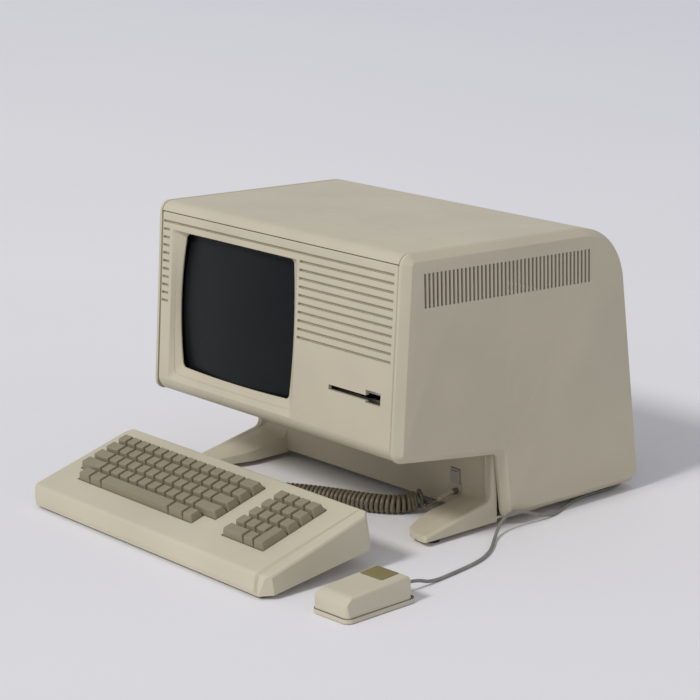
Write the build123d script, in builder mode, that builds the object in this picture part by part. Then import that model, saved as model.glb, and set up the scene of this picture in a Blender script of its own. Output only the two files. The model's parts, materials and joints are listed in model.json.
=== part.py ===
"""A one-piece desktop computer with its keyboard and its one-button mouse, in millimetres.

+Z is up and the front faces -Y. The origin is on the desk, in the middle of the whole set's footprint.
Each piece is drawn in the frame of what it belongs to (computer, keyboard or mouse), and is moved to the
set's frame when it is written. In the computer's frame x = 0 is its middle and y = 0 its lower front edge.
"""

import os
from math import atan2, cos, degrees, radians, sin, sqrt, tan

from build123d import *

# ---------------------------------------------------------------- where the three things stand
COMPUTER_AT = (-57.0, -98.0)
KEYBOARD_AT = (6.0, -191.0)  # middle of the keyboard's front lower edge, from the computer
KEYBOARD_TILT = 8.0
KEYBOARD_FRONT_LIFT = 3.8
MOUSE_AT = (320.59, -121.0)  # middle of the mouse, from the computer
MOUSE_TURN = 2.0

# ---------------------------------------------------------------- cabinet
CASE_WIDTH = 475.0
CASE_HEIGHT = 350.0
CASE_DEPTH = 395.0
DESK_GAP = 10.0
SKIN = 3.0
SEAM = 1.2
EDGE_CHAMFER = 8.5
POCKET_STEPS = 3
PANEL_DEPTH = 12.5
CHIN_HEIGHT = 113.0
FRONT_LEAN = 21.0
TOP_FALL = 2.4
BACK_LEAN = 5.8
CORNER_RADII = {"chin": 13.0, "brow": 14.0, "back_top": 78.0, "back_foot": 14.0, "base": 12.0, "arch": 6.0}
BASE_FRONT = 159.0
BASE_FRONT_LEAN = 8.5
UNDERSIDE_FALL = 21.6
BROW_BAND = 11.5  # from the seam above the front up to the cabinet's top
BACK_BAND = 88.0  # from the seam across the back up to the cabinet's top

VENT_COUNT = 43
VENT_PITCH = 6.1
VENT_SLOT = (3.0, 39.5)
VENT_FIRST = (47.0, 43.7)  # depth, and distance below the cabinet's top
VENT_FALL = 2.7
AIR_SLOTS = 9
AIR_SLOT_PITCH = 11.0
AIR_SLOT = (320.0, 3.2)
AIR_SLOT_FIRST = 140.0

# ---------------------------------------------------------------- legs and base
WALL_SETBACK = 2.0
LEG_GAP = 6.5
FOOT_FRONT = 52.0
FOOT_TIP_TOP = 13.0
TIP_RADIUS = 4.0
FOOT_HEEL_TOP = 35.0
RIDGE_INSIDE = 202.0  # the foot's level ridge runs from here out to its side
INSTEP_TIP_TOP = 12.0
INSTEP_HEEL_TOP = 28.0
LEG_INSIDE = 169.0
LEG_CURVE = [(169.0, 106.0), (174.5, 86.0), (179.5, 73.0), (186.5, 61.0), (205.0, 54.0)]  # its inner edge
RIM_INSIDE = 214.0
RIM_FRONT = 155.0
RIM_LEAN = 2.8
RIM_BLEND = 10.0
DISH_RADIUS = 13.0
LEG_EDGE_RADIUS = 3.5
PAN_BACK = 376.0
PAN_RIM = 16.0
RUBBER_RADIUS = 9.0
FRONT_RUBBER = (208.0, 76.0)
BACK_RUBBER = (200.0, 356.0)

# ---------------------------------------------------------------- front
BEZEL_WALL = 5.0
BEZEL_DEPTH = 24.0
BEZEL_EDGE = 3.0
CHIN_RADIUS = 18.0
SCREEN_LEFT = -202.0
SCREEN_RIGHT = 46.5
SCREEN_BOTTOM = 16.0  # heights on the front are measured up its slope from its lower edge
SCREEN_DROP = 20.0  # and these drops down the slope from its upper edge
GROOVE_DROP = 11.2
SCREEN_BEVELS = {"left": 17.0, "right": 19.5, "bottom": 18.0, "top": 3.5}
SCREEN_BULGES = {"left": 9.0, "right": 4.7, "bottom": 2.5, "top": 0.5}
SCREEN_CORNER = 7.0
SCREEN_RECESS = 10.5
MASK_EDGE = 1.5
MOUTH_CORNER = 5.0
GROOVE_COUNT = 11
GROOVE_PITCH = 9.95
GROOVE_WIDTH = 3.2
GROOVE_DEEP = 3.6
GROOVE_RIGHT = (50.0, 218.0)
GROOVE_LEFT = (-220.5, -207.0)
SLOT_LEFT = 112.0
SLOT_RIGHT = 204.0
SLOT_HEIGHT = 6.0
SLOT_LEVEL = 67.0
NOTCH_WIDTH = 26.0
NOTCH_HEIGHT = 15.0

# ---------------------------------------------------------------- inside the computer
TUBE_MARGIN = 14.0
TUBE_SETBACK = 8.8
TUBE_FACE_DEPTH = 26.0
FUNNEL_DEPTH = 96.0
NECK_RADIUS = 15.0
NECK_LENGTH = 74.0
FUNNEL_END_RADIUS = 34.0
FACE_SPHERE = 900.0
YOKE_RADIUS = 46.0
YOKE_LENGTH = 34.0
FRAME_DEPTH = 9.0
FRAME_SIZE = (266.0, 212.0)
FRAME_DROP = 4.0
YOKE_FLANGE = 16.0
YOKE_END = 12.0
SHELF_HEIGHT = 116.0
SHELF_FRONT = 27.0
SHELF_BACK = 350.0
SHELF_HALF = 214.0
DIVIDER_X = 62.0
DIVIDER_TOP = 300.0
RAIL_MIDDLE = 270.0
RAIL_LENGTH = 180.0
SHEET = 1.6
BOARD = 1.6
DRIVE_WIDTH = 104.0
DRIVE_LENGTH = 148.0
DRIVE_HEIGHT = 44.0
DRIVE_FRONT = 16.0
SPINDLE_RADIUS = 14.0
SPINDLE_Y = 68.0
HUB_SHAFT = 3.0
MOTOR_HEIGHT = 9.0
ROD_LEVEL = 12.0
RAIL_START = 94.0
CARRIAGE_Y = 112.0
ROD_RADIUS = 2.0
RUNNING_FIT = 0.05
CARD_COUNT = 5
CARD_PITCH = 22.0
CARD_FIRST_X = -182.0
CARD_SIZE = (150.0, 76.0)
CHIP = (8.0, 18.0, 4.0)
CAGE_Y = 262.0
BACKPLANE = (252.0, 172.0)
BACKPLANE_X = -76.0
BACKPLANE_LIFT = 6.0
SUPPLY_X = 138.0
SUPPLY = (144.0, 176.0, 96.0)
SUPPLY_VENTS = 10
SUPPLY_VENT = (4.0, 140.0, 12.0)
VIDEO_BOARD_X = -209.0
VIDEO_BOARD_Y = 270.0
VIDEO_BOARD = (120.0, 150.0)
TRANSFORMER = (42.0, 46.0, 34.0)
TRANSFORMER_AT = (300.0, 240.0)
CAN_RADIUS = 10.0
CAN_HEIGHT = 26.0
CAN_PLACES = [(250.0, 160.0), (276.0, 160.0), (302.0, 162.0)]
SPEAKER_X = 160.0
SPEAKER_DROP = 60.0
SPEAKER_RADIUS = 36.0
SPEAKER_RIM = 4.0
SPEAKER_CONE = 14.0
MAGNET_RADIUS = 17.0
MAGNET_DEPTH = 12.0
BUTTON_GAP = 0.6
POWER_BUTTON_AT = (155.9, 48.5)
POWER_BUTTON_SIZE = (16.0, 18.0)
JACK_AT = (158.0, 30.2)
JACK_RADIUS = 5.2
JACK_FLANGE = 1.0
JACK_LENGTH = 12.0
PLUG_PIN = 11.0
JACK_BORE = 3.3
PLUG_FIT = 0.1
PLUG_RADIUS = 4.6
SPIRAL_DIAMETER = 7.0
PORT_WINDOW = (400.0, 52.0)
PORT_LEVEL = 46.0
PORT_STAND_OUT = 6.0
PLATE_TOP = 100.0
MOUSE_PORT_X = 68.0
INLET_X = 160.0
INLET_BODY = (46.0, 27.0)
INLET_SOCKET = (27.0, 19.0)
INLET_DEPTH = 17.0
RESET_X = 10.0
RESET_RADIUS = 4.0
SCREW_LEVEL = 90.0
SCREW_X = 211.0
SCREW_HEAD = 6.0
SCREW_RADIUS = 6.0

# ---------------------------------------------------------------- keyboard (in its own, level frame)
KEYS_WIDTH = 464.0
KEYS_DEPTH = 162.0
KEYS_FRONT_HEIGHT = 22.5
KEYS_BACK_HEIGHT = 43.7
KEYS_FRONT_LEAN = 7.8
KEYS_BACK_LEAN = 2.0
KEYS_CORNER = 12.7
KEYS_RIDGE_RADIUS = 7.0
KEYS_WALL = 3.0
KEYS_FLOOR = 3.0
LEFT_FRONT_CORNER = 11.0
LEFT_BACK_CORNER = 17.0
RAIL_GROOVE_X = 209.3
RAIL_GROOVE = (8.0, 1.8)
RAIL_END = 7.0  # the groove stops this far from the back
KEY_PITCH = 19.05
KEY_GAP = 1.1
KEY_SINK = 1.2
KEY_DRAFT = 2.0
KEY_BACK_DRAFT = 2.7
KEY_HEIGHTS = [8.6, 9.0, 9.3, 9.6, 10.0]
MAIN_LEFT = -208.5
MAIN_FRONT = 35.5
PAD_LEFT = 103.3
WELL_MARGIN = 0.8
BOARD_DEPTH = 17.6
SWITCH_TOP = 6.6
SWITCH_SIZE = 13.6
STEM_SIZE = 4.0
STEM_GAP = 0.5
STEM_LENGTH = 10.0
KEYS_END_RADIUS = 4.0
PILLAR_RADIUS = 3.0
PILLAR_PLACES = [(x, s) for x in (-190, -70, 50, 160) for s in (34, 130)]
FRONT_PAD = (24.0, 12.0)
FRONT_PAD_AT = (205.0, 14.0)
BACK_LEG = (30.0, 12.0)
BACK_LEG_AT = (170.0, 146.0)
KEYS_BOARD = (392.0, 106.0)
KEYS_BOARD_AT = (-16.0, 82.0)
GROMMET_X = -116.0
GROMMET_HEIGHT = 9.0
GROMMET_NECK = 3.4
GROMMET_RADIUS = 5.0
GROMMET_LENGTH = 12.0

# ---------------------------------------------------------------- mouse (in its own frame)
MOUSE_WIDTH = 60.0
MOUSE_LENGTH = 101.0
MOUSE_HEIGHT = 32.0
MOUSE_TOP_FALL = 3.0  # degrees, toward the front
MOUSE_FRONT_HEIGHT = 20.0
MOUSE_SLOPE_LENGTH = 11.0
MOUSE_SEAM = 6.0
MOUSE_WALL = 2.0
MOUSE_GLIDE = 1.0
MOUSE_CORNER = 9.0
MOUSE_EDGE = 4.0
MOUSE_DRAFT = 6.0
MOUSE_STEP = 1.0  # the base plate stands out this far round the upper shell
MOUSE_FRONT_LEAN = 1.5
MOUSE_BACK_LEAN = 3.0
MOUSE_BACK_SET = 3.5  # the shell ends this far before the base plate's lip
MOUSE_BOARD = (46.0, 30.0)
MOUSE_BOARD_AT = (0.0, 24.0)
MOUSE_BOARD_LIFT = 4.0
SWITCH_BODY = (12.7, 6.4, 6.5)
GLIDE_SIZE = (44.0, 6.0)
GLIDE_INSET = 7.0
CLICK_SIZE = (35.0, 26.0)
CLICK_AT = (-4.0, 26.5)
CLICK_TRAVEL = 1.2
CLICK_GAP = 0.5
CLICK_PROUD = 0.6
CLICK_CAP = 6.0
CLICK_STEM = (6.0, 5.0)
CLICK_REST = 0.3  # left under the stem at the end of its travel
BALL_RADIUS = 11.0
BALL_LIFT = 0.3
BALL_CLEARANCE = 0.6
BALL_AT = (4.0, -18.0)
ROLLER_RADIUS = 2.0
ROLLER_GAP = 0.05
ROLLER_LENGTH = 20.0
JOURNAL_RADIUS = 1.2
BEARING_WIDTH = 4.0
CORD_HEIGHT = 12.0
RELIEF_RADIUS = 3.2
RELIEF_LENGTH = 8.5
PLUG_HOOD = (31.0, 15.0, 34.0)

# ---------------------------------------------------------------- cords (points in the computer's frame)
COIL_DIAMETER = 23.5
LEAD_DIAMETER = 5.0
MOUSE_CORD_DIAMETER = 4.0
RELIEF_ROUTE = [(158.0, 153.0, 30.2), (158.0, 141.5, 28.4), (151.5, 136.0, 22.5)]
KEYBOARD_LEAD = [(151.5, 136.0, 22.5), (145.0, 130.5, 16.6), (136.0, 132.0, 11.5), (126.5, 137.5, 9.8)]
COIL_ROUTE = [
    (120.0, 143.0, 18.5),
    (114.0, 120.0, 12.2),
    (92.0, 98.5, 12.2),
    (54.0, 82.5, 12.2),
    (20.0, 70.0, 12.2),
    (-10.0, 55.0, 12.2),
    (-40.0, 36.0, 12.2),
    (-62.0, 26.0, 12.2),
]
KEYBOARD_TAIL = [
    (-62.0, 26.0, 12.2),
    (-80.0, 20.0, 8.5),
    (-103.0, 22.0, 14.0),
    (-110.0, -0.7, 41.1),
    (-110.0, -20.4, 37.4),
]
MOUSE_ROUTE = [
    (318.53, -61.9, 12.0),
    (317.9, -44.0, 11.4),
    (317.0, -22.0, 2.2),
    (310.5, 22.0, 2.2),
    (302.0, 66.0, 2.2),
    (284.0, 99.0, 2.2),
    (258.0, 128.0, 2.2),
    (243.5, 149.0, 10.0),
    (241.5, 165.0, 20.5),
    (242.0, 190.0, 17.6),
    (243.0, 217.0, 6.5),
    (241.5, 240.0, 2.2),
    (234.0, 260.0, 2.2),
    (221.0, 290.0, 2.2),
    (216.0, 320.0, 2.2),
    (217.0, 350.0, 2.2),
    (214.0, 376.0, 2.2),
    (200.0, 399.0, 2.2),
    (178.0, 405.2, 2.2),
    (158.0, 405.0, 2.2),
    (140.0, 405.6, 2.2),
]
STORED_COIL_AT = (140.0, 428.0)
STORED_COIL_RADIUS = 22.4
STORED_COIL_SECTION = 8.2
PORT_LEAD = [
    (117.6, 428.0, 2.2),
    (117.5, 455.0, 2.2),
    (112.0, 481.0, 2.2),
    (94.0, 495.0, 2.2),
    (76.0, 485.0, 4.0),
    (70.0, 469.0, 22.0),
    (68.0, 455.0, 44.0),
    (68.0, 436.0, 46.0),
]

# ---------------------------------------------------------------- worked out from the values above
HALF_WIDTH = CASE_WIDTH / 2
INNER_HALF = HALF_WIDTH - PANEL_DEPTH - SEAM
BROW_SEAM_HEIGHT = CASE_HEIGHT - BROW_BAND
BACK_SEAM_HEIGHT = CASE_HEIGHT - BACK_BAND
FRONT_ANGLE = degrees(atan2(FRONT_LEAN, CASE_HEIGHT - CHIN_HEIGHT))
FRONT_SLOPE = tan(radians(FRONT_ANGLE))
FRONT_TOP = (BROW_SEAM_HEIGHT - SEAM - CHIN_HEIGHT) / cos(radians(FRONT_ANGLE))
SCREEN_TOP = FRONT_TOP - SCREEN_DROP
GROOVE_TOP = FRONT_TOP - GROOVE_DROP
WALL_FRONT = BASE_FRONT + WALL_SETBACK
HEEL = WALL_FRONT + SKIN
PAN_TOP = DESK_GAP + SKIN
SIDE_PLANE = Plane.YZ
FRONT_PLANE = Plane(
    origin=(0, 0, CHIN_HEIGHT),
    x_dir=(1, 0, 0),
    z_dir=(0, -cos(radians(FRONT_ANGLE)), sin(radians(FRONT_ANGLE))),
)
COMPUTER = Location((COMPUTER_AT[0], COMPUTER_AT[1], 0))
KEYBOARD_DESK = COMPUTER * Location((KEYBOARD_AT[0], KEYBOARD_AT[1], 0))
KEYBOARD = KEYBOARD_DESK * Location((0, 0, KEYBOARD_FRONT_LIFT), (KEYBOARD_TILT, 0, 0))
MOUSE = COMPUTER * Location((MOUSE_AT[0], MOUSE_AT[1], 0), (0, 0, MOUSE_TURN))
DECK_ANGLE = degrees(atan2(KEYS_BACK_HEIGHT - KEYS_FRONT_HEIGHT, KEYS_DEPTH - KEYS_BACK_LEAN - KEYS_FRONT_LEAN))
DECK = Plane(
    origin=(0, KEYS_FRONT_LEAN, KEYS_FRONT_HEIGHT),
    x_dir=(1, 0, 0),
    z_dir=(0, -sin(radians(DECK_ANGLE)), cos(radians(DECK_ANGLE))),
)

BACK_PLANE = Plane(
    origin=(GROMMET_X, KEYS_DEPTH - KEYS_BACK_LEAN * GROMMET_HEIGHT / KEYS_BACK_HEIGHT, GROMMET_HEIGHT),
    x_dir=(1, 0, 0),
    z_dir=(0, KEYS_BACK_HEIGHT, KEYS_BACK_LEAN),
)
SHELL_FRONT = MOUSE_STEP - MOUSE_LENGTH / 2
SHELL_BACK = MOUSE_LENGTH / 2 - MOUSE_STEP - MOUSE_BACK_SET
SHELL_TOP_BACK = SHELL_BACK - MOUSE_BACK_LEAN
SHELL_FALL = radians(MOUSE_TOP_FALL)
ROLLER_Y_AT = BALL_AT[1] + BALL_RADIUS + ROLLER_RADIUS + ROLLER_GAP
ROLLER_X_AT = BALL_AT[0] - BALL_RADIUS - ROLLER_RADIUS - ROLLER_GAP
ROLLER_Y_BEARINGS = [BALL_AT[0] + side * (ROLLER_LENGTH - BEARING_WIDTH) / 2 for side in (-1, 1)]
ROLLER_X_BEARINGS = [BALL_AT[1] + side * (ROLLER_LENGTH - BEARING_WIDTH) / 2 for side in (-1, 1)]

os.makedirs("parts", exist_ok=True)


def write(piece, name, frame):
    """Label a finished piece, move it to the set's frame and write it."""
    placed = piece.moved(frame)
    placed.label = name
    export_step(placed, f"parts/{name}.step")


def underside(y):
    """Height of the sloping underside between the chin and the base."""
    return CHIN_HEIGHT - UNDERSIDE_FALL * y / BASE_FRONT


def back_face(z):
    """Depth of the leaning back at a height."""
    return CASE_DEPTH - tan(radians(BACK_LEAN)) * (z - DESK_GAP)


def cabinet_section(inset):
    """The cabinet seen from its side, as a face with rounded corners, drawn in the side plane's own axes."""
    fall = tan(radians(TOP_FALL))
    lean = tan(radians(BACK_LEAN))
    crown_y = CASE_DEPTH - lean * (CASE_HEIGHT - DESK_GAP + fall * FRONT_LEAN)
    crown_y = crown_y / (1 - lean * fall)
    crown_z = CASE_HEIGHT - fall * (crown_y - FRONT_LEAN)
    corners = [
        (0, CHIN_HEIGHT),
        (FRONT_LEAN, CASE_HEIGHT),
        (crown_y, crown_z),
        (CASE_DEPTH, DESK_GAP),
        (BASE_FRONT + BASE_FRONT_LEAN, DESK_GAP),
        (BASE_FRONT, CHIN_HEIGHT - UNDERSIDE_FALL),
    ]
    radii = [CORNER_RADII[k] for k in ("chin", "brow", "back_top", "back_foot", "base", "arch")]
    with BuildSketch() as section:
        with BuildLine():
            FilletPolyline(*corners, radius=radii, close=True)
        make_face()
        if inset:
            offset(amount=-inset)
    return section.sketch_local


OUTSIDE = cabinet_section(0)
INSIDE = cabinet_section(SKIN)


# ================================================================ computer: outside


def make_side_panels():
    """Both side skins: a hollow plate with a wide chamfer round it and a row of vent slots near the top."""
    inner_x = HALF_WIDTH - PANEL_DEPTH
    fall = tan(radians(VENT_FALL))
    first_y = VENT_FIRST[0]
    first_z = CASE_HEIGHT - VENT_FIRST[1]
    vents = [(first_y + i * VENT_PITCH, first_z - fall * i * VENT_PITCH) for i in range(VENT_COUNT)]
    pocket_slope = EDGE_CHAMFER - SKIN * (2 - sqrt(2))
    with BuildPart() as panel:
        with BuildSketch(SIDE_PLANE.offset(inner_x)):
            add(OUTSIDE)
        extrude(amount=PANEL_DEPTH)
        chamfer(panel.faces().sort_by(Axis.X)[-1].edges(), EDGE_CHAMFER)
        for step in range(POCKET_STEPS):
            inset = SKIN + pocket_slope * step / (POCKET_STEPS - 1)
            with BuildSketch(SIDE_PLANE.offset(inner_x)):
                add(cabinet_section(inset))
            extrude(amount=PANEL_DEPTH - EDGE_CHAMFER + inset - SKIN * sqrt(2), mode=Mode.SUBTRACT)
        with BuildSketch(SIDE_PLANE.offset(HALF_WIDTH)):
            with Locations(*vents):
                Rectangle(*VENT_SLOT)
        extrude(amount=-2 * SKIN, mode=Mode.SUBTRACT)
    with BuildPart() as other_panel:
        add(panel.part)
        mirror(about=Plane.YZ, mode=Mode.REPLACE)
    write(panel.part, "side_panel_right", COMPUTER)
    write(other_panel.part, "side_panel_left", COMPUTER)


def make_top_cover():
    """The lid: from the seam above the front, over the top and round the big back corner."""
    beyond = CASE_DEPTH + 50
    region = [
        (-50, BROW_SEAM_HEIGHT),
        (FRONT_LEAN + BEZEL_DEPTH + 15, BROW_SEAM_HEIGHT),
        (CASE_DEPTH - 77, BACK_SEAM_HEIGHT),
        (beyond, BACK_SEAM_HEIGHT),
        (beyond, CASE_HEIGHT + 50),
        (-50, CASE_HEIGHT + 50),
    ]
    with BuildPart() as top_cover:
        with BuildSketch(SIDE_PLANE):
            add(OUTSIDE)
            add(INSIDE, mode=Mode.SUBTRACT)
            Polygon(*region, align=None, mode=Mode.INTERSECT)
        extrude(amount=INNER_HALF, both=True)
    write(top_cover.part, "top_cover", COMPUTER)


def make_rear_cover():
    """The back: a leaning plate with air slots above and a window for the ports below."""
    beyond = CASE_DEPTH + 50
    region = [
        (PAN_BACK, 0),
        (beyond, 0),
        (beyond, BACK_SEAM_HEIGHT),
        (PAN_BACK - 60, BACK_SEAM_HEIGHT),
        (PAN_BACK - 60, BACK_SEAM_HEIGHT - 40),
        (PAN_BACK, DESK_GAP + 40),
    ]
    with BuildPart() as rear_cover:
        with BuildSketch(SIDE_PLANE):
            add(OUTSIDE)
            add(INSIDE, mode=Mode.SUBTRACT)
            Polygon(*region, align=None, mode=Mode.INTERSECT)
        extrude(amount=INNER_HALF, both=True)
        with BuildSketch(Plane.XZ.offset(-CASE_DEPTH - 5)):
            with Locations((0, PORT_LEVEL)):
                RectangleRounded(PORT_WINDOW[0], PORT_WINDOW[1], 4)
            with Locations(*[(0, AIR_SLOT_FIRST + AIR_SLOT_PITCH * i) for i in range(AIR_SLOTS)]):
                Rectangle(*AIR_SLOT)
        extrude(amount=60, mode=Mode.SUBTRACT)
    write(rear_cover.part, "rear_cover", COMPUTER)


def leg_section(corners, bend_radius):
    """A leg seen from its side, with its second corner rounded as a tip and its third as a bend."""
    with BuildSketch() as section:
        Polygon(*corners, align=None)
        fillet(section.vertices().sort_by_distance(corners[1])[:1], TIP_RADIUS)
        fillet(section.vertices().sort_by_distance(corners[2])[:1], bend_radius)
    return section.sketch_local


def foot_section(tip_top, heel_top):
    """The foot's section: the tip, the rising top and the blend into the wall behind it."""
    blend_top = heel_top + DISH_RADIUS + 1
    corners = [
        (FOOT_FRONT, LEG_GAP),
        (FOOT_FRONT + 1, tip_top),
        (WALL_FRONT, heel_top),
        (WALL_FRONT, blend_top),
        (HEEL, blend_top),
        (HEEL, LEG_GAP),
    ]
    return leg_section(corners, DISH_RADIUS)


def make_leg():
    """The right leg: a foot that runs forward with a dished inner slope, and an upright rim at its side."""
    rim = [
        (FOOT_FRONT, LEG_GAP),
        (FOOT_FRONT + 1, FOOT_TIP_TOP),
        (RIM_FRONT, FOOT_HEEL_TOP - 1),
        (RIM_FRONT + RIM_LEAN, underside(RIM_FRONT + RIM_LEAN) - SEAM),
        (HEEL, underside(HEEL) - SEAM),
        (HEEL, LEG_GAP),
    ]
    rim_rise = WALL_FRONT - RIM_FRONT
    with BuildPart() as leg:
        with BuildSketch(SIDE_PLANE.offset(RIM_INSIDE)):
            add(leg_section(rim, RIM_BLEND))
        extrude(amount=INNER_HALF - RIM_INSIDE)
        outer_edges = leg.faces().sort_by(Axis.X)[-1].edges().filter_by(
            lambda e: e.center().Z > LEG_GAP + 1 and e.center().Y < RIM_FRONT + 2
        )
        fillet(outer_edges, LEG_EDGE_RADIUS)
        with BuildSketch(SIDE_PLANE.offset(RIDGE_INSIDE)):
            add(foot_section(FOOT_TIP_TOP, FOOT_HEEL_TOP))
        extrude(amount=RIM_INSIDE - RIDGE_INSIDE)
        with BuildSketch(SIDE_PLANE.offset(RIDGE_INSIDE)):
            add(foot_section(FOOT_TIP_TOP, FOOT_HEEL_TOP))
        with BuildSketch(SIDE_PLANE.offset(LEG_INSIDE)):
            add(foot_section(INSTEP_TIP_TOP, INSTEP_HEEL_TOP))
        loft(ruled=True)
        with BuildSketch(Plane.XY.offset(LEG_GAP)):
            with BuildLine():
                Polyline(
                    (RIM_INSIDE - DISH_RADIUS, WALL_FRONT),
                    (RIM_INSIDE, WALL_FRONT),
                    (RIM_INSIDE, RIM_FRONT),
                )
                RadiusArc(
                    (RIM_INSIDE, RIM_FRONT),
                    (RIM_INSIDE - DISH_RADIUS, WALL_FRONT),
                    -1.02 * (DISH_RADIUS**2 + rim_rise**2) / (2 * rim_rise),
                )
            make_face()
        extrude(amount=underside(RIM_FRONT) - SEAM - LEG_GAP)
        with BuildSketch(Plane.XY):
            with BuildLine():
                Spline(*LEG_CURVE)
                Polyline(
                    LEG_CURVE[-1],
                    (INNER_HALF, FOOT_FRONT - 4),
                    (INNER_HALF, 0),
                    (LEG_INSIDE - 5, 0),
                    (LEG_INSIDE - 5, LEG_CURVE[0][1]),
                    LEG_CURVE[0],
                )
            make_face()
        extrude(amount=CHIN_HEIGHT, mode=Mode.SUBTRACT)
        with BuildSketch(SIDE_PLANE):
            Polygon(
                (RIM_FRONT - 60, underside(RIM_FRONT - 60) - SEAM),
                (HEEL + 5, underside(HEEL + 5) - SEAM),
                (HEEL + 5, CHIN_HEIGHT),
                (RIM_FRONT - 60, CHIN_HEIGHT),
                align=None,
            )
        extrude(amount=HALF_WIDTH, mode=Mode.SUBTRACT)
    return leg.part


RIGHT_LEG = make_leg()


def make_base_housing():
    """Floor pan, recessed front wall and underside as one folded section, with the two legs."""
    lip = 26.0
    section = [
        (lip, underside(lip)),
        (WALL_FRONT, underside(WALL_FRONT)),
        (WALL_FRONT, DESK_GAP),
        (PAN_BACK, DESK_GAP),
        (PAN_BACK, DESK_GAP + PAN_RIM),
        (PAN_BACK - SKIN, DESK_GAP + PAN_RIM),
        (PAN_BACK - SKIN, PAN_TOP),
        (HEEL, PAN_TOP),
        (HEEL, underside(HEEL) + SKIN),
        (lip, underside(lip) + SKIN),
    ]
    with BuildPart() as base_housing:
        with BuildSketch(SIDE_PLANE):
            Polygon(*section, align=None)
        extrude(amount=INNER_HALF, both=True)
        add(RIGHT_LEG)
        add(mirror(RIGHT_LEG, about=Plane.YZ))
        with BuildSketch(Plane.XZ.offset(-WALL_FRONT)):
            with Locations(POWER_BUTTON_AT):
                Rectangle(POWER_BUTTON_SIZE[0] + 2 * BUTTON_GAP, POWER_BUTTON_SIZE[1] + 2 * BUTTON_GAP)
            with Locations(JACK_AT):
                Circle(JACK_RADIUS)
        extrude(amount=SKIN, both=True, mode=Mode.SUBTRACT)
    write(base_housing.part, "base_housing", COMPUTER)


def make_rubber_feet():
    """Four rubber discs, two under the legs and two under the pan's back corners."""
    with BuildPart() as rubber_feet:
        for place, height in [(FRONT_RUBBER, LEG_GAP), (BACK_RUBBER, DESK_GAP)]:
            with BuildSketch(Plane.XY):
                with Locations((-place[0], place[1]), place):
                    Circle(RUBBER_RADIUS)
            extrude(amount=height)
    write(rubber_feet.part, "rubber_feet", COMPUTER)


def screen_outline(grow, corner):
    """A picture tube's outline on the front plane: four bowed sides with rounded corners."""
    left = SCREEN_LEFT + SCREEN_BEVELS["left"] - grow
    right = SCREEN_RIGHT - SCREEN_BEVELS["right"] + grow
    bottom = SCREEN_BOTTOM + SCREEN_BEVELS["bottom"] - grow
    top = SCREEN_TOP - SCREEN_BEVELS["top"] + grow
    middle_x = (left + right) / 2
    middle_y = (bottom + top) / 2
    with BuildSketch() as outline:
        with BuildLine():
            ThreePointArc((left, bottom), (middle_x, bottom - SCREEN_BULGES["bottom"]), (right, bottom))
            ThreePointArc((right, bottom), (right + SCREEN_BULGES["right"], middle_y), (right, top))
            ThreePointArc((right, top), (middle_x, top + SCREEN_BULGES["top"]), (left, top))
            ThreePointArc((left, top), (left - SCREEN_BULGES["left"], middle_y), (left, bottom))
        make_face()
        fillet(outline.vertices(), corner)
    return outline.sketch_local


def recess_outline(grow, corner):
    """The screen recess where it meets the front."""
    with BuildSketch() as outline:
        with Locations(((SCREEN_LEFT + SCREEN_RIGHT) / 2, (SCREEN_BOTTOM + SCREEN_TOP) / 2)):
            RectangleRounded(SCREEN_RIGHT - SCREEN_LEFT + grow, SCREEN_TOP - SCREEN_BOTTOM + grow, corner)
    return outline.sketch_local


MASK_OPENING = screen_outline(0, SCREEN_CORNER)
MASK_MOUTH = recess_outline(0, MOUTH_CORNER)
MASK_BACKING = recess_outline(BEZEL_WALL, MOUTH_CORNER)


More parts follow.
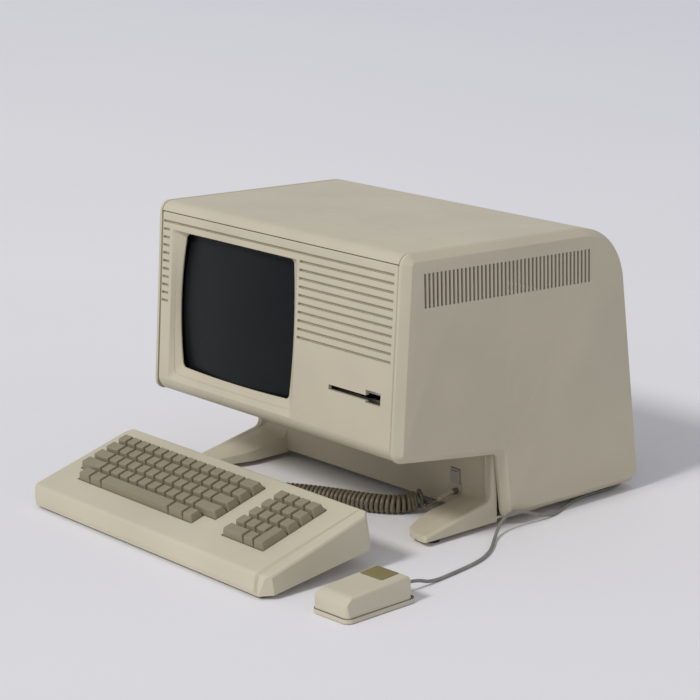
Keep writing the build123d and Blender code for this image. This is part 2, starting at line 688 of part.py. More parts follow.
def make_front_bezel():
    """The front: a shell with the screen recess, the air grooves and the disk slot."""
    section = [
        (0, CHIN_HEIGHT),
        (FRONT_SLOPE * (BROW_SEAM_HEIGHT - SEAM - CHIN_HEIGHT), BROW_SEAM_HEIGHT - SEAM),
        (FRONT_LEAN + BEZEL_DEPTH, BROW_SEAM_HEIGHT - SEAM),
        (BEZEL_DEPTH, underside(BEZEL_DEPTH)),
    ]
    top = BROW_SEAM_HEIGHT - SEAM - BEZEL_WALL
    hollow = [
        (BEZEL_WALL, underside(BEZEL_WALL) + BEZEL_WALL),
        (BEZEL_WALL + FRONT_SLOPE * (top - CHIN_HEIGHT), top),
        (FRONT_LEAN + 2 * BEZEL_DEPTH, top),
        (2 * BEZEL_DEPTH, underside(2 * BEZEL_DEPTH) + BEZEL_WALL),
    ]
    levels = [GROOVE_TOP - i * GROOVE_PITCH for i in range(GROOVE_COUNT)]
    with BuildPart() as front_bezel:
        with BuildSketch(SIDE_PLANE):
            with BuildLine():
                FilletPolyline(*section, radius=[CHIN_RADIUS, 1, 1, 1], close=True)
            make_face()
        extrude(amount=INNER_HALF, both=True)
        side_edges = front_bezel.edges().filter_by(
            lambda e: abs(e.center().X) > INNER_HALF - 1 and e.center().Y < FRONT_LEAN / 2 + 1 and e.length > 10
        )
        fillet(side_edges, BEZEL_EDGE)
        with BuildSketch(SIDE_PLANE):
            with BuildLine():
                FilletPolyline(*hollow, radius=[CHIN_RADIUS - BEZEL_WALL, 1, 1, 1], close=True)
            make_face()
        extrude(amount=INNER_HALF - BEZEL_WALL, both=True, mode=Mode.SUBTRACT)
        with BuildSketch(FRONT_PLANE.offset(-BEZEL_WALL)):
            add(MASK_BACKING)
        extrude(amount=BEZEL_WALL - SCREEN_RECESS - MASK_EDGE)
        with BuildSketch(FRONT_PLANE):
            add(MASK_MOUTH)
        with BuildSketch(FRONT_PLANE.offset(-SCREEN_RECESS)):
            add(MASK_OPENING)
        loft(mode=Mode.SUBTRACT)
        with BuildSketch(FRONT_PLANE.offset(-SCREEN_RECESS)):
            add(MASK_OPENING)
        extrude(amount=-2 * BEZEL_WALL, mode=Mode.SUBTRACT)
        with BuildSketch(FRONT_PLANE):
            with Locations(((GROOVE_LEFT[0] + GROOVE_RIGHT[1]) / 2, GROOVE_TOP)):
                Rectangle(GROOVE_RIGHT[1] - GROOVE_LEFT[0], GROOVE_WIDTH)
            for left, right in (GROOVE_RIGHT, GROOVE_LEFT):
                with Locations(*[((left + right) / 2, level) for level in levels[1:]]):
                    Rectangle(right - left, GROOVE_WIDTH)
        extrude(amount=-GROOVE_DEEP, mode=Mode.SUBTRACT)
        with BuildSketch(FRONT_PLANE):
            with Locations(((SLOT_LEFT + SLOT_RIGHT) / 2, SLOT_LEVEL)):
                Rectangle(SLOT_RIGHT - SLOT_LEFT, SLOT_HEIGHT)
            with Locations((SLOT_RIGHT - NOTCH_WIDTH / 2, SLOT_LEVEL + 2)):
                Rectangle(NOTCH_WIDTH, NOTCH_HEIGHT)
        extrude(amount=-2 * BEZEL_WALL, mode=Mode.SUBTRACT)
    write(front_bezel.part, "front_bezel", COMPUTER)


def make_cover_screws():
    """Two knurled thumbscrews that hold the rear cover."""
    outward = (0, cos(radians(BACK_LEAN)), sin(radians(BACK_LEAN)))
    with BuildPart() as cover_screws:
        with BuildSketch(Plane((0, back_face(SCREW_LEVEL), SCREW_LEVEL), x_dir=(1, 0, 0), z_dir=outward)):
            with Locations((-SCREW_X, 0), (SCREW_X, 0)):
                RegularPolygon(SCREW_RADIUS, 16)
        extrude(amount=SCREW_HEAD)
    write(cover_screws.part, "cover_screws", COMPUTER)


# ================================================================ computer: inside


def make_picture_tube():
    """The glass tube, the frame that holds it and the yoke round its neck."""
    glass = screen_outline(TUBE_MARGIN, SCREEN_CORNER + TUBE_MARGIN)
    centre_x = (SCREEN_LEFT + SCREEN_BEVELS["left"] + SCREEN_RIGHT - SCREEN_BEVELS["right"]) / 2
    centre_y = (SCREEN_BOTTOM + SCREEN_BEVELS["bottom"] + SCREEN_TOP - SCREEN_BEVELS["top"]) / 2
    face_plane = FRONT_PLANE.offset(-TUBE_SETBACK)
    funnel_start = face_plane.offset(-TUBE_FACE_DEPTH)
    funnel_end = funnel_start.offset(-FUNNEL_DEPTH)
    with BuildPart() as picture_tube:
        with BuildSketch(face_plane):
            add(glass)
        extrude(amount=-TUBE_FACE_DEPTH)
        with BuildSketch(funnel_start):
            add(glass)
        with BuildSketch(funnel_end):
            with Locations((centre_x, centre_y)):
                Circle(FUNNEL_END_RADIUS)
        loft()
        with BuildSketch(funnel_end):
            with Locations((centre_x, centre_y)):
                Circle(NECK_RADIUS)
        extrude(amount=-NECK_LENGTH)
        ball = Plane(
            origin=face_plane.from_local_coords((centre_x, centre_y, -FACE_SPHERE)),
            z_dir=face_plane.z_dir,
        )
        with Locations(ball):
            Sphere(FACE_SPHERE, mode=Mode.INTERSECT)
    write(picture_tube.part, "picture_tube", COMPUTER)

    frame_plane = FRONT_PLANE.offset(-BEZEL_DEPTH - 1)
    with BuildPart() as tube_frame:
        with BuildSketch(frame_plane):
            with Locations((centre_x, centre_y - FRAME_DROP)):
                Rectangle(*FRAME_SIZE)
            add(glass, mode=Mode.SUBTRACT)
        extrude(amount=-FRAME_DEPTH)
        with BuildSketch(Plane.XY.offset(SHELF_HEIGHT + SHEET)):
            with Locations((centre_x, 40)):
                Rectangle(300, 80)
        extrude(amount=-20, mode=Mode.SUBTRACT)
    write(tube_frame.part, "tube_frame", COMPUTER)

    yoke_plane = funnel_end
    with BuildPart() as deflection_yoke:
        with BuildSketch(yoke_plane):
            with Locations((centre_x, centre_y)):
                Circle(YOKE_RADIUS)
                Circle(NECK_RADIUS, mode=Mode.SUBTRACT)
        extrude(amount=-YOKE_LENGTH)
        with BuildSketch(yoke_plane.offset(-YOKE_LENGTH)):
            with Locations((centre_x, centre_y)):
                Circle(YOKE_RADIUS - YOKE_FLANGE)
                Circle(NECK_RADIUS, mode=Mode.SUBTRACT)
        extrude(amount=-YOKE_END)
    write(deflection_yoke.part, "deflection_yoke", COMPUTER)


def make_chassis():
    """The sheet-metal frame: a shelf under tube and drive, a dividing wall and two rails to the pan."""
    with BuildPart() as chassis_frame:
        with BuildSketch(Plane.XY.offset(SHELF_HEIGHT)):
            with Locations((0, (SHELF_FRONT + SHELF_BACK) / 2)):
                Rectangle(2 * SHELF_HALF, SHELF_BACK - SHELF_FRONT)
        extrude(amount=SHEET)
        with BuildSketch(SIDE_PLANE.offset(DIVIDER_X)):
            Polygon(
                (SHELF_FRONT + 40, SHELF_HEIGHT),
                (SHELF_BACK, SHELF_HEIGHT),
                (SHELF_BACK - 24, DIVIDER_TOP),
                (SHELF_FRONT + 60, DIVIDER_TOP),
                align=None,
            )
        extrude(amount=SHEET)
        with BuildSketch(Plane.XY.offset(PAN_TOP)):
            with Locations(*[(x, RAIL_MIDDLE) for x in (1 - SHELF_HALF, DIVIDER_X, SHELF_HALF - 1)]):
                Rectangle(SHEET, RAIL_LENGTH)
        extrude(amount=SHELF_HEIGHT - PAN_TOP)
    write(chassis_frame.part, "chassis_frame", COMPUTER)


def make_video_board():
    """The board that drives the tube, upright at the left wall, with its transformer and cans."""
    with BuildPart() as video_board:
        with BuildSketch(SIDE_PLANE.offset(VIDEO_BOARD_X)):
            with Locations((VIDEO_BOARD_Y, SHELF_HEIGHT + SHEET + VIDEO_BOARD[1] / 2)):
                Rectangle(*VIDEO_BOARD)
        extrude(amount=BOARD)
        with BuildSketch(SIDE_PLANE.offset(VIDEO_BOARD_X + BOARD)):
            with Locations(TRANSFORMER_AT):
                Rectangle(TRANSFORMER[0], TRANSFORMER[1])
        extrude(amount=TRANSFORMER[2])
        with BuildSketch(SIDE_PLANE.offset(VIDEO_BOARD_X + BOARD)):
            with Locations(*CAN_PLACES):
                Circle(CAN_RADIUS)
        extrude(amount=CAN_HEIGHT)
    write(video_board.part, "video_board", COMPUTER)


def make_power_supply():
    """A vented steel box at the lower right, and the inlet on its back."""
    width, depth, height = SUPPLY
    vent_width, vent_length, vent_pitch = SUPPLY_VENT
    first_vent = SUPPLY_X - vent_pitch * (SUPPLY_VENTS - 1) / 2
    with BuildPart() as power_supply:
        with BuildSketch(Plane.XY.offset(PAN_TOP)):
            with Locations((SUPPLY_X, CAGE_Y)):
                Rectangle(width, depth)
        extrude(amount=height)
        with BuildSketch(Plane.XY.offset(PAN_TOP + SHEET)):
            with Locations((SUPPLY_X, CAGE_Y)):
                Rectangle(width - 2 * SHEET, depth - 2 * SHEET)
        extrude(amount=height - 2 * SHEET, mode=Mode.SUBTRACT)
        with BuildSketch(Plane.XY.offset(PAN_TOP + height)):
            with Locations(*[(first_vent + vent_pitch * i, CAGE_Y) for i in range(SUPPLY_VENTS)]):
                Rectangle(vent_width, vent_length)
        extrude(amount=-SHEET, mode=Mode.SUBTRACT)
    write(power_supply.part, "power_supply", COMPUTER)

    with BuildPart() as power_inlet:
        with BuildSketch(Plane.XZ.offset(-PAN_BACK + SKIN)):
            with Locations((INLET_X, PORT_LEVEL + 2)):
                RectangleRounded(INLET_BODY[0] + 6, INLET_BODY[1] + 6, 4)
        extrude(amount=-SKIN)
        with BuildSketch(Plane.XZ.offset(-PAN_BACK + SKIN)):
            with Locations((INLET_X, PORT_LEVEL + 2)):
                RectangleRounded(*INLET_BODY, 4)
        extrude(amount=INLET_DEPTH)
        with BuildSketch(Plane.XZ.offset(-PAN_BACK)):
            with Locations((INLET_X, PORT_LEVEL + 2)):
                Rectangle(*INLET_SOCKET)
        extrude(amount=INLET_DEPTH, mode=Mode.SUBTRACT)
        pins = [(INLET_X - 7, PORT_LEVEL), (INLET_X + 7, PORT_LEVEL), (INLET_X, PORT_LEVEL + 5)]
        with BuildSketch(Plane.XZ.offset(-PAN_BACK + INLET_DEPTH)):
            with Locations(*pins):
                Rectangle(2, 4)
        extrude(amount=-INLET_DEPTH + 4)
    write(power_inlet.part, "power_inlet", COMPUTER)


def make_cards():
    """The backplane on its four posts and the plug-in boards that stand on it."""
    with BuildPart() as backplane_board:
        with BuildSketch(Plane.XY.offset(PAN_TOP + BACKPLANE_LIFT)):
            with Locations((BACKPLANE_X, CAGE_Y)):
                Rectangle(*BACKPLANE)
        extrude(amount=BOARD)
        with BuildSketch(Plane.XY.offset(PAN_TOP)):
            with Locations((BACKPLANE_X, CAGE_Y)):
                with GridLocations(BACKPLANE[0] - 16, BACKPLANE[1] - 16, 2, 2):
                    Circle(3)
        extrude(amount=BACKPLANE_LIFT)
    write(backplane_board.part, "backplane_board", COMPUTER)

    card_x = [CARD_FIRST_X + i * CARD_PITCH for i in range(CARD_COUNT)]
    foot_z = PAN_TOP + BACKPLANE_LIFT + BOARD
    with BuildPart() as circuit_boards:
        with BuildSketch(Plane.XY.offset(foot_z)):
            with Locations(*[(x, CAGE_Y) for x in card_x]):
                Rectangle(BOARD, CARD_SIZE[0])
        extrude(amount=CARD_SIZE[1])
        for x in card_x:
            with BuildSketch(SIDE_PLANE.offset(x + BOARD / 2)):
                with Locations((CAGE_Y, foot_z + CARD_SIZE[1] / 2 + 4)):
                    with GridLocations(18, 22, 7, 3):
                        Rectangle(CHIP[0], CHIP[1])
            extrude(amount=CHIP[2])
    write(circuit_boards.part, "circuit_boards", COMPUTER)


def slot_height():
    """Height of the middle of the disk slot above the desk."""
    return CHIN_HEIGHT + SLOT_LEVEL * cos(radians(FRONT_ANGLE))


def make_disk_drive():
    """The disk drive: an open frame, a spindle hub that turns and a head carriage that slides on a rod."""
    middle_x = (SLOT_LEFT + SLOT_RIGHT) / 2
    level = slot_height()
    low = level - DRIVE_HEIGHT * 0.55
    wall = 2.0
    with BuildPart() as disk_drive_frame:
        with BuildSketch(Plane.XZ.offset(-DRIVE_FRONT)):
            with Locations((middle_x, low + DRIVE_HEIGHT / 2)):
                Rectangle(DRIVE_WIDTH, DRIVE_HEIGHT)
                Rectangle(DRIVE_WIDTH - 2 * wall, DRIVE_HEIGHT - 2 * wall, mode=Mode.SUBTRACT)
        extrude(amount=-DRIVE_LENGTH)
        with BuildSketch(Plane.XZ.offset(-DRIVE_FRONT - DRIVE_LENGTH + wall)):
            with Locations((middle_x, low + DRIVE_HEIGHT / 2)):
                Rectangle(DRIVE_WIDTH, DRIVE_HEIGHT)
        extrude(amount=-wall)
        with BuildSketch(Plane.XZ.offset(-DRIVE_FRONT)):
            with Locations((middle_x, low + DRIVE_HEIGHT / 2)):
                Rectangle(DRIVE_WIDTH, DRIVE_HEIGHT)
            with Locations((middle_x, level)):
                Rectangle(SLOT_RIGHT - SLOT_LEFT, SLOT_HEIGHT, mode=Mode.SUBTRACT)
        extrude(amount=-wall)
        with BuildSketch(Plane.XY.offset(low + wall)):
            with Locations((middle_x, SPINDLE_Y)):
                Circle(SPINDLE_RADIUS)
                Circle(HUB_SHAFT + RUNNING_FIT, mode=Mode.SUBTRACT)
        extrude(amount=MOTOR_HEIGHT)
        with BuildSketch(Plane.XZ.offset(-RAIL_START)):
            with Locations((middle_x, low + ROD_LEVEL)):
                Circle(ROD_RADIUS)
        extrude(amount=-(DRIVE_FRONT + DRIVE_LENGTH - wall - RAIL_START))
    write(disk_drive_frame.part, "disk_drive_frame", COMPUTER)

    with BuildPart() as drive_spindle:
        with BuildSketch(Plane.XY.offset(low + wall + MOTOR_HEIGHT + 0.4)):
            with Locations((middle_x, SPINDLE_Y)):
                Circle(SPINDLE_RADIUS - 2)
        extrude(amount=2.2)
        with BuildSketch(Plane.XY.offset(low + wall + 0.4)):
            with Locations((middle_x, SPINDLE_Y)):
                Circle(HUB_SHAFT)
        extrude(amount=MOTOR_HEIGHT)
    write(drive_spindle.part, "drive_spindle", COMPUTER)

    with BuildPart() as head_carriage:
        with BuildSketch(Plane.XZ.offset(-CARRIAGE_Y)):
            with Locations((middle_x, low + ROD_LEVEL)):
                RectangleRounded(18, 10, 2)
                Circle(ROD_RADIUS + RUNNING_FIT, mode=Mode.SUBTRACT)
        extrude(amount=-16)
    write(head_carriage.part, "head_carriage", COMPUTER)

    with BuildPart() as drive_bracket:
        with BuildSketch(Plane.XZ.offset(-DRIVE_FRONT - 40)):
            with Locations((middle_x - DRIVE_WIDTH / 2 - 2, (SHELF_HEIGHT + SHEET + level + 10) / 2)):
                Rectangle(SHEET, level + 10 - SHELF_HEIGHT - SHEET)
            with Locations((middle_x + 45, (SHELF_HEIGHT + SHEET + low) / 2)):
                Rectangle(SHEET, low - SHELF_HEIGHT - SHEET - 0.2)
            with Locations((middle_x, SHELF_HEIGHT + SHEET + SHEET / 2)):
                Rectangle(DRIVE_WIDTH + 5.6, SHEET)
        extrude(amount=-80)
    write(drive_bracket.part, "drive_bracket", COMPUTER)


def make_speaker():
    """A small round speaker behind the grooves at the right."""
    plane = FRONT_PLANE.offset(-BEZEL_WALL)
    place = (SPEAKER_X, FRONT_TOP - SPEAKER_DROP)
    with BuildPart() as speaker:
        with BuildSketch(plane):
            with Locations(place):
                Circle(SPEAKER_RADIUS)
        extrude(amount=-SPEAKER_RIM)
        with BuildSketch(plane.offset(-SPEAKER_RIM)):
            with Locations(place):
                Circle(SPEAKER_RADIUS - SPEAKER_RIM)
        with BuildSketch(plane.offset(-SPEAKER_RIM - SPEAKER_CONE)):
            with Locations(place):
                Circle(MAGNET_RADIUS - 1)
        loft()
        with BuildSketch(plane.offset(-SPEAKER_RIM - SPEAKER_CONE)):
            with Locations(place):
                Circle(MAGNET_RADIUS)
        extrude(amount=-MAGNET_DEPTH)
    write(speaker.part, "speaker", COMPUTER)


def make_rear_ports():
    """The port plate behind the rear cover's window, with its sockets, and the reset button in it."""
    plate_back = PAN_BACK - SKIN
    with BuildPart() as rear_ports:
        with BuildSketch(Plane.XZ.offset(-plate_back)):
            with Locations((0, (PAN_TOP + PLATE_TOP) / 2)):
                Rectangle(2 * SHELF_HALF, PLATE_TOP - PAN_TOP)
            with Locations((INLET_X, PORT_LEVEL + 2)):
                RectangleRounded(*INLET_BODY, 4, mode=Mode.SUBTRACT)
            with Locations((RESET_X, PORT_LEVEL)):
                Circle(RESET_RADIUS + BUTTON_GAP, mode=Mode.SUBTRACT)
        extrude(amount=SHEET)
        with BuildSketch(Plane.XZ.offset(-plate_back)):
            with Locations((MOUSE_PORT_X, PORT_LEVEL)):
                RectangleRounded(19, 10, 2.5)
            with Locations((-40, PORT_LEVEL), (-100, PORT_LEVEL), (-160, PORT_LEVEL)):
                RectangleRounded(40, 11, 2.5)
        extrude(amount=-PORT_STAND_OUT)
    write(rear_ports.part, "rear_ports", COMPUTER)

    with BuildPart() as reset_button:
        with BuildSketch(Plane.XZ.offset(-plate_back + 6)):
            with Locations((RESET_X, PORT_LEVEL)):
                Circle(RESET_RADIUS)
        extrude(amount=-11)
        with BuildSketch(Plane.XZ.offset(-plate_back + 6)):
            with Locations((RESET_X, PORT_LEVEL)):
                Circle(RESET_RADIUS + 2)
        extrude(amount=1.5)
    write(reset_button.part, "reset_button", COMPUTER)


def make_front_controls():
    """The power button in the recessed wall and the keyboard's jack beside it."""
    with BuildPart() as power_button:
        with BuildSketch(Plane.XZ.offset(-WALL_FRONT + 1.5)):
            with Locations(POWER_BUTTON_AT):
                RectangleRounded(POWER_BUTTON_SIZE[0], POWER_BUTTON_SIZE[1], 1.5)
        extrude(amount=-9)
        with BuildSketch(Plane.XZ.offset(-WALL_FRONT + 1.5)):
            with Locations((POWER_BUTTON_AT[0], POWER_BUTTON_AT[1] + 6.5)):
                Rectangle(11, 2)
        extrude(amount=-1.2, mode=Mode.SUBTRACT)
    write(power_button.part, "power_button", COMPUTER)

    with BuildPart() as keyboard_jack:
        with BuildSketch(Plane.XZ.offset(-WALL_FRONT)):
            with Locations(JACK_AT):
                Circle(JACK_RADIUS + JACK_FLANGE)
                Circle(JACK_BORE, mode=Mode.SUBTRACT)
        extrude(amount=JACK_FLANGE)
        with BuildSketch(Plane.XZ.offset(-WALL_FRONT)):
            with Locations(JACK_AT):
                Circle(JACK_RADIUS - 0.1)
                Circle(JACK_BORE, mode=Mode.SUBTRACT)
        extrude(amount=-JACK_LENGTH)
    write(keyboard_jack.part, "keyboard_jack", COMPUTER)


# ================================================================ keyboard


def keyboard_section(inset):
    """The keyboard seen from its side: a wedge whose deck rises to the back."""
    corners = [
        (0, 0),
        (KEYS_FRONT_LEAN, KEYS_FRONT_HEIGHT),
        (KEYS_DEPTH - KEYS_BACK_LEAN, KEYS_BACK_HEIGHT),
        (KEYS_DEPTH, 0),
    ]
    with BuildSketch() as section:
        with BuildLine():
            FilletPolyline(*corners, radius=[1.5, KEYS_RIDGE_RADIUS, 4, 1.5], close=True)
        make_face()
        if inset:
            offset(amount=-inset)
    return section.sketch_local


KEYBOARD_OUTSIDE = keyboard_section(0)
KEYBOARD_INSIDE = keyboard_section(KEYS_WALL)


def keyboard_plan(inset):
    """The keyboard seen from above: cut corners at the right, round ones at the left."""
    with BuildSketch() as plan:
        with Locations((0, KEYS_DEPTH / 2)):
            Rectangle(KEYS_WIDTH - 2 * inset, KEYS_DEPTH - 2 * inset)
        chamfer(plan.vertices().filter_by(lambda v: v.X > 0), KEYS_CORNER)
        back = KEYS_DEPTH - 2 * inset - 1
        fillet(plan.vertices().filter_by(lambda v: v.X < 0 and v.Y < back / 2), LEFT_FRONT_CORNER)
        fillet(plan.vertices().filter_by(lambda v: v.X < 0 and v.Y > back), LEFT_BACK_CORNER)
    return plan.sketch_local


KEYBOARD_PLAN = keyboard_plan(0)
KEYBOARD_PLAN_INSIDE = keyboard_plan(KEYS_WALL)


def key_rows():
    """Every key as (name of its group, left edge, front edge, width, depth, height), on the deck plane."""
    units = {
        4: [("number", 1.0)] * 13 + [("backspace", 1.5)],
        3: [("tab", 1.5)] + [("letters_top", 1.0)] * 13,
        2: [("caps", 1.75)] + [("letters_home", 1.0)] * 11 + [("return", 1.75)],
        1: [("shift", 2.25)] + [("letters_low", 1.0)] * 10 + [("shift", 2.25)],
    }
    keys = []
    for row, spec in units.items():
        left = MAIN_LEFT
        for group, width in spec:
            front = MAIN_FRONT + row * KEY_PITCH
            keys.append((group, left, front, width * KEY_PITCH, KEY_PITCH, KEY_HEIGHTS[row]))
            left += width * KEY_PITCH
    left = MAIN_LEFT + 1.1 * KEY_PITCH
    front_row = [("bottom", 1.25)] * 2 + [("space_bar", 7.25), ("bottom", 1.5), ("bottom", 1.0)]
    for group, width in front_row:
        keys.append((group, left, MAIN_FRONT, width * KEY_PITCH, KEY_PITCH, KEY_HEIGHTS[0]))
        left += width * KEY_PITCH
    for row in range(1, 5):
        for column in range(4 if row > 1 else 3):
            left = PAD_LEFT + column * KEY_PITCH
            front = MAIN_FRONT + row * KEY_PITCH
            keys.append(("pad", left, front, KEY_PITCH, KEY_PITCH, KEY_HEIGHTS[row]))
    keys.append(("pad", PAD_LEFT, MAIN_FRONT, 2 * KEY_PITCH, KEY_PITCH, KEY_HEIGHTS[0]))
    keys.append(("pad", PAD_LEFT + 2 * KEY_PITCH, MAIN_FRONT, KEY_PITCH, KEY_PITCH, KEY_HEIGHTS[0]))
    keys.append(("pad", PAD_LEFT + 3 * KEY_PITCH, MAIN_FRONT, KEY_PITCH, 2 * KEY_PITCH, KEY_HEIGHTS[1]))
    return keys


KEYS = key_rows()
KEY_GROUPS = {
    "keys_number_row": "number",
    "key_backspace": "backspace",
    "key_tab": "tab",
    "keys_top_letter_row": "letters_top",
    "key_caps_lock": "caps",
    "keys_home_letter_row": "letters_home",
    "key_return": "return",
    "keys_shift": "shift",
    "keys_low_letter_row": "letters_low",
    "keys_bottom_row": "bottom",
    "key_space_bar": "space_bar",
    "keypad_keys": "pad",
}


def stem_places(key):
    """Where a key's stems stand: one in its middle, or two on the space bar."""
    _, left, front, width, depth, _ = key
    middle = (left + width / 2, front + depth / 2)
    if width > 4 * KEY_PITCH:
        return [(middle[0] - width / 3, middle[1]), (middle[0] + width / 3, middle[1])]
    return [middle]


def make_keys():
    """Keycaps with leaning sides, each on its stem, written in the groups that travel together."""
    for name, group in KEY_GROUPS.items():
        with BuildPart() as caps:
            for key in [k for k in KEYS if k[0] == group]:
                _, left, front, width, depth, height = key
                middle = (left + width / 2, front + depth / 2)
                with BuildSketch(DECK.offset(-KEY_SINK)):
                    with Locations(middle):
                        Rectangle(width - KEY_GAP, depth - KEY_GAP)
                with BuildSketch(DECK.offset(height)):
                    with Locations((middle[0], middle[1] + (KEY_DRAFT - KEY_BACK_DRAFT) / 2)):
                        Rectangle(width - KEY_GAP - 2 * KEY_DRAFT, depth - KEY_GAP - KEY_DRAFT - KEY_BACK_DRAFT)
                loft()
                with BuildSketch(DECK.offset(-KEY_SINK)):
                    with Locations(*stem_places(key)):
                        Rectangle(STEM_SIZE, STEM_SIZE)
                extrude(amount=-STEM_LENGTH)
        write(caps.part, name, KEYBOARD)


def well_outlines():
    """The two openings in the deck, for the main keys and for the keypad."""
    with BuildSketch() as wells:
        for _, left, front, width, depth, _ in KEYS:
            with Locations((left + width / 2, front + depth / 2)):
                Rectangle(width + 2 * WELL_MARGIN, depth + 2 * WELL_MARGIN)
    return wells.sketch_local


WELLS = well_outlines()


def keyboard_block(section, plan, width):
    """A solid with the keyboard's side view and its plan."""
    with BuildPart() as block:
        with BuildSketch(SIDE_PLANE):
            add(section)
        extrude(amount=width / 2, both=True)
        with BuildSketch(Plane.XY):
            add(plan)
        extrude(amount=2 * KEYS_BACK_HEIGHT, mode=Mode.INTERSECT)
    return block.part


def make_keyboard_top_case():
    """The upper shell with the two key wells, the rail groove at the right and the cord's hole."""
    outside = keyboard_block(KEYBOARD_OUTSIDE, KEYBOARD_PLAN, KEYS_WIDTH)
    inside = keyboard_block(KEYBOARD_INSIDE, KEYBOARD_PLAN_INSIDE, KEYS_WIDTH)
    with BuildPart() as keyboard_top_case:
        add(outside)
        with BuildSketch(Plane(origin=DECK.origin, x_dir=(1, 0, 0), z_dir=-DECK.y_dir)):
            with Locations((0, -KEYS_BACK_HEIGHT)):
                RectangleRounded(KEYS_WIDTH, 2 * KEYS_BACK_HEIGHT, KEYS_END_RADIUS)
        extrude(amount=2 * KEYS_DEPTH, both=True, mode=Mode.INTERSECT)
        add(inside, mode=Mode.SUBTRACT)
        with BuildSketch(Plane.XY):
            Rectangle(2 * KEYS_WIDTH, 4 * KEYS_DEPTH)
        extrude(amount=KEYS_FLOOR, mode=Mode.SUBTRACT)
        with BuildSketch(DECK.offset(KEYS_WALL)):
            add(WELLS)
        extrude(amount=-3 * KEYS_WALL, mode=Mode.SUBTRACT)
        with BuildSketch(SIDE_PLANE.offset(RAIL_GROOVE_X)):
            add(KEYBOARD_OUTSIDE)
            add(keyboard_section(RAIL_GROOVE[1]), mode=Mode.SUBTRACT)
            with Locations((KEYS_DEPTH, 0)):
                Rectangle(2 * RAIL_END, 4 * KEYS_BACK_HEIGHT, mode=Mode.SUBTRACT)
        extrude(amount=RAIL_GROOVE[0], mode=Mode.SUBTRACT)
        with BuildSketch(BACK_PLANE):
            Circle(GROMMET_NECK)
        extrude(amount=2 * KEYS_WALL, both=True, mode=Mode.SUBTRACT)
    write(keyboard_top_case.part, "keyboard_top_case", KEYBOARD)


def make_keyboard_bottom_case():
    """The flat bottom with the pillars that carry the board."""
    with BuildPart() as keyboard_bottom_case:
        with BuildSketch(DECK.offset(-BOARD_DEPTH - BOARD)):
            with Locations(*PILLAR_PLACES):
                Circle(PILLAR_RADIUS)
        extrude(amount=-30)
        with BuildSketch(Plane.XY):
            Rectangle(2 * KEYS_WIDTH, 4 * KEYS_DEPTH)
        extrude(amount=-40, mode=Mode.SUBTRACT)
        with BuildSketch(Plane.XY):
            add(KEYBOARD_PLAN)
        extrude(amount=KEYS_FLOOR)
    write(keyboard_bottom_case.part, "keyboard_bottom_case", KEYBOARD)


def make_keyboard_feet():
    """Two low pads in front and two tall legs behind, between the desk and the tilted bottom."""
    front_pads = [(-FRONT_PAD_AT[0], FRONT_PAD_AT[1]), FRONT_PAD_AT]
    back_legs = [(-BACK_LEG_AT[0], BACK_LEG_AT[1]), BACK_LEG_AT]
    bottom = Plane(
        origin=(0, 0, KEYBOARD_FRONT_LIFT),
        x_dir=(1, 0, 0),
        z_dir=(0, -sin(radians(KEYBOARD_TILT)), cos(radians(KEYBOARD_TILT))),
    )
    with BuildPart() as keyboard_feet:
        with BuildSketch(Plane.XY):
            with Locations(*front_pads):
                RectangleRounded(*FRONT_PAD, 3)
            with Locations(*back_legs):
                RectangleRounded(*BACK_LEG, 3)
        extrude(amount=2 * KEYS_BACK_HEIGHT)
        split(bisect_by=bottom, keep=Keep.BOTTOM)
    write(keyboard_feet.part, "keyboard_feet", KEYBOARD_DESK)


def make_keyboard_inside():
    """The circuit board and the row of square switches that take the stems."""
    with BuildPart() as keyboard_circuit_board:
        with BuildSketch(DECK.offset(-BOARD_DEPTH)):
            with Locations(KEYS_BOARD_AT):
                Rectangle(*KEYS_BOARD)
        extrude(amount=-BOARD)
    write(keyboard_circuit_board.part, "keyboard_circuit_board", KEYBOARD)

    places = [place for key in KEYS for place in stem_places(key)]
    with BuildPart() as key_switches:
        with BuildSketch(DECK.offset(-BOARD_DEPTH)):
            with Locations(*places):
                Rectangle(SWITCH_SIZE, SWITCH_SIZE)
        extrude(amount=BOARD_DEPTH - SWITCH_TOP)
        with BuildSketch(DECK.offset(-SWITCH_TOP)):
            with Locations(*places):
                Rectangle(STEM_SIZE + 2 * STEM_GAP, STEM_SIZE + 2 * STEM_GAP)
        extrude(amount=-STEM_LENGTH, mode=Mode.SUBTRACT)
    write(key_switches.part, "key_switches", KEYBOARD)


# ================================================================ mouse


def mouse_top(y):
    """Height of the mouse's top, which falls toward its front."""
    return MOUSE_HEIGHT - (SHELL_TOP_BACK - y) * tan(SHELL_FALL)


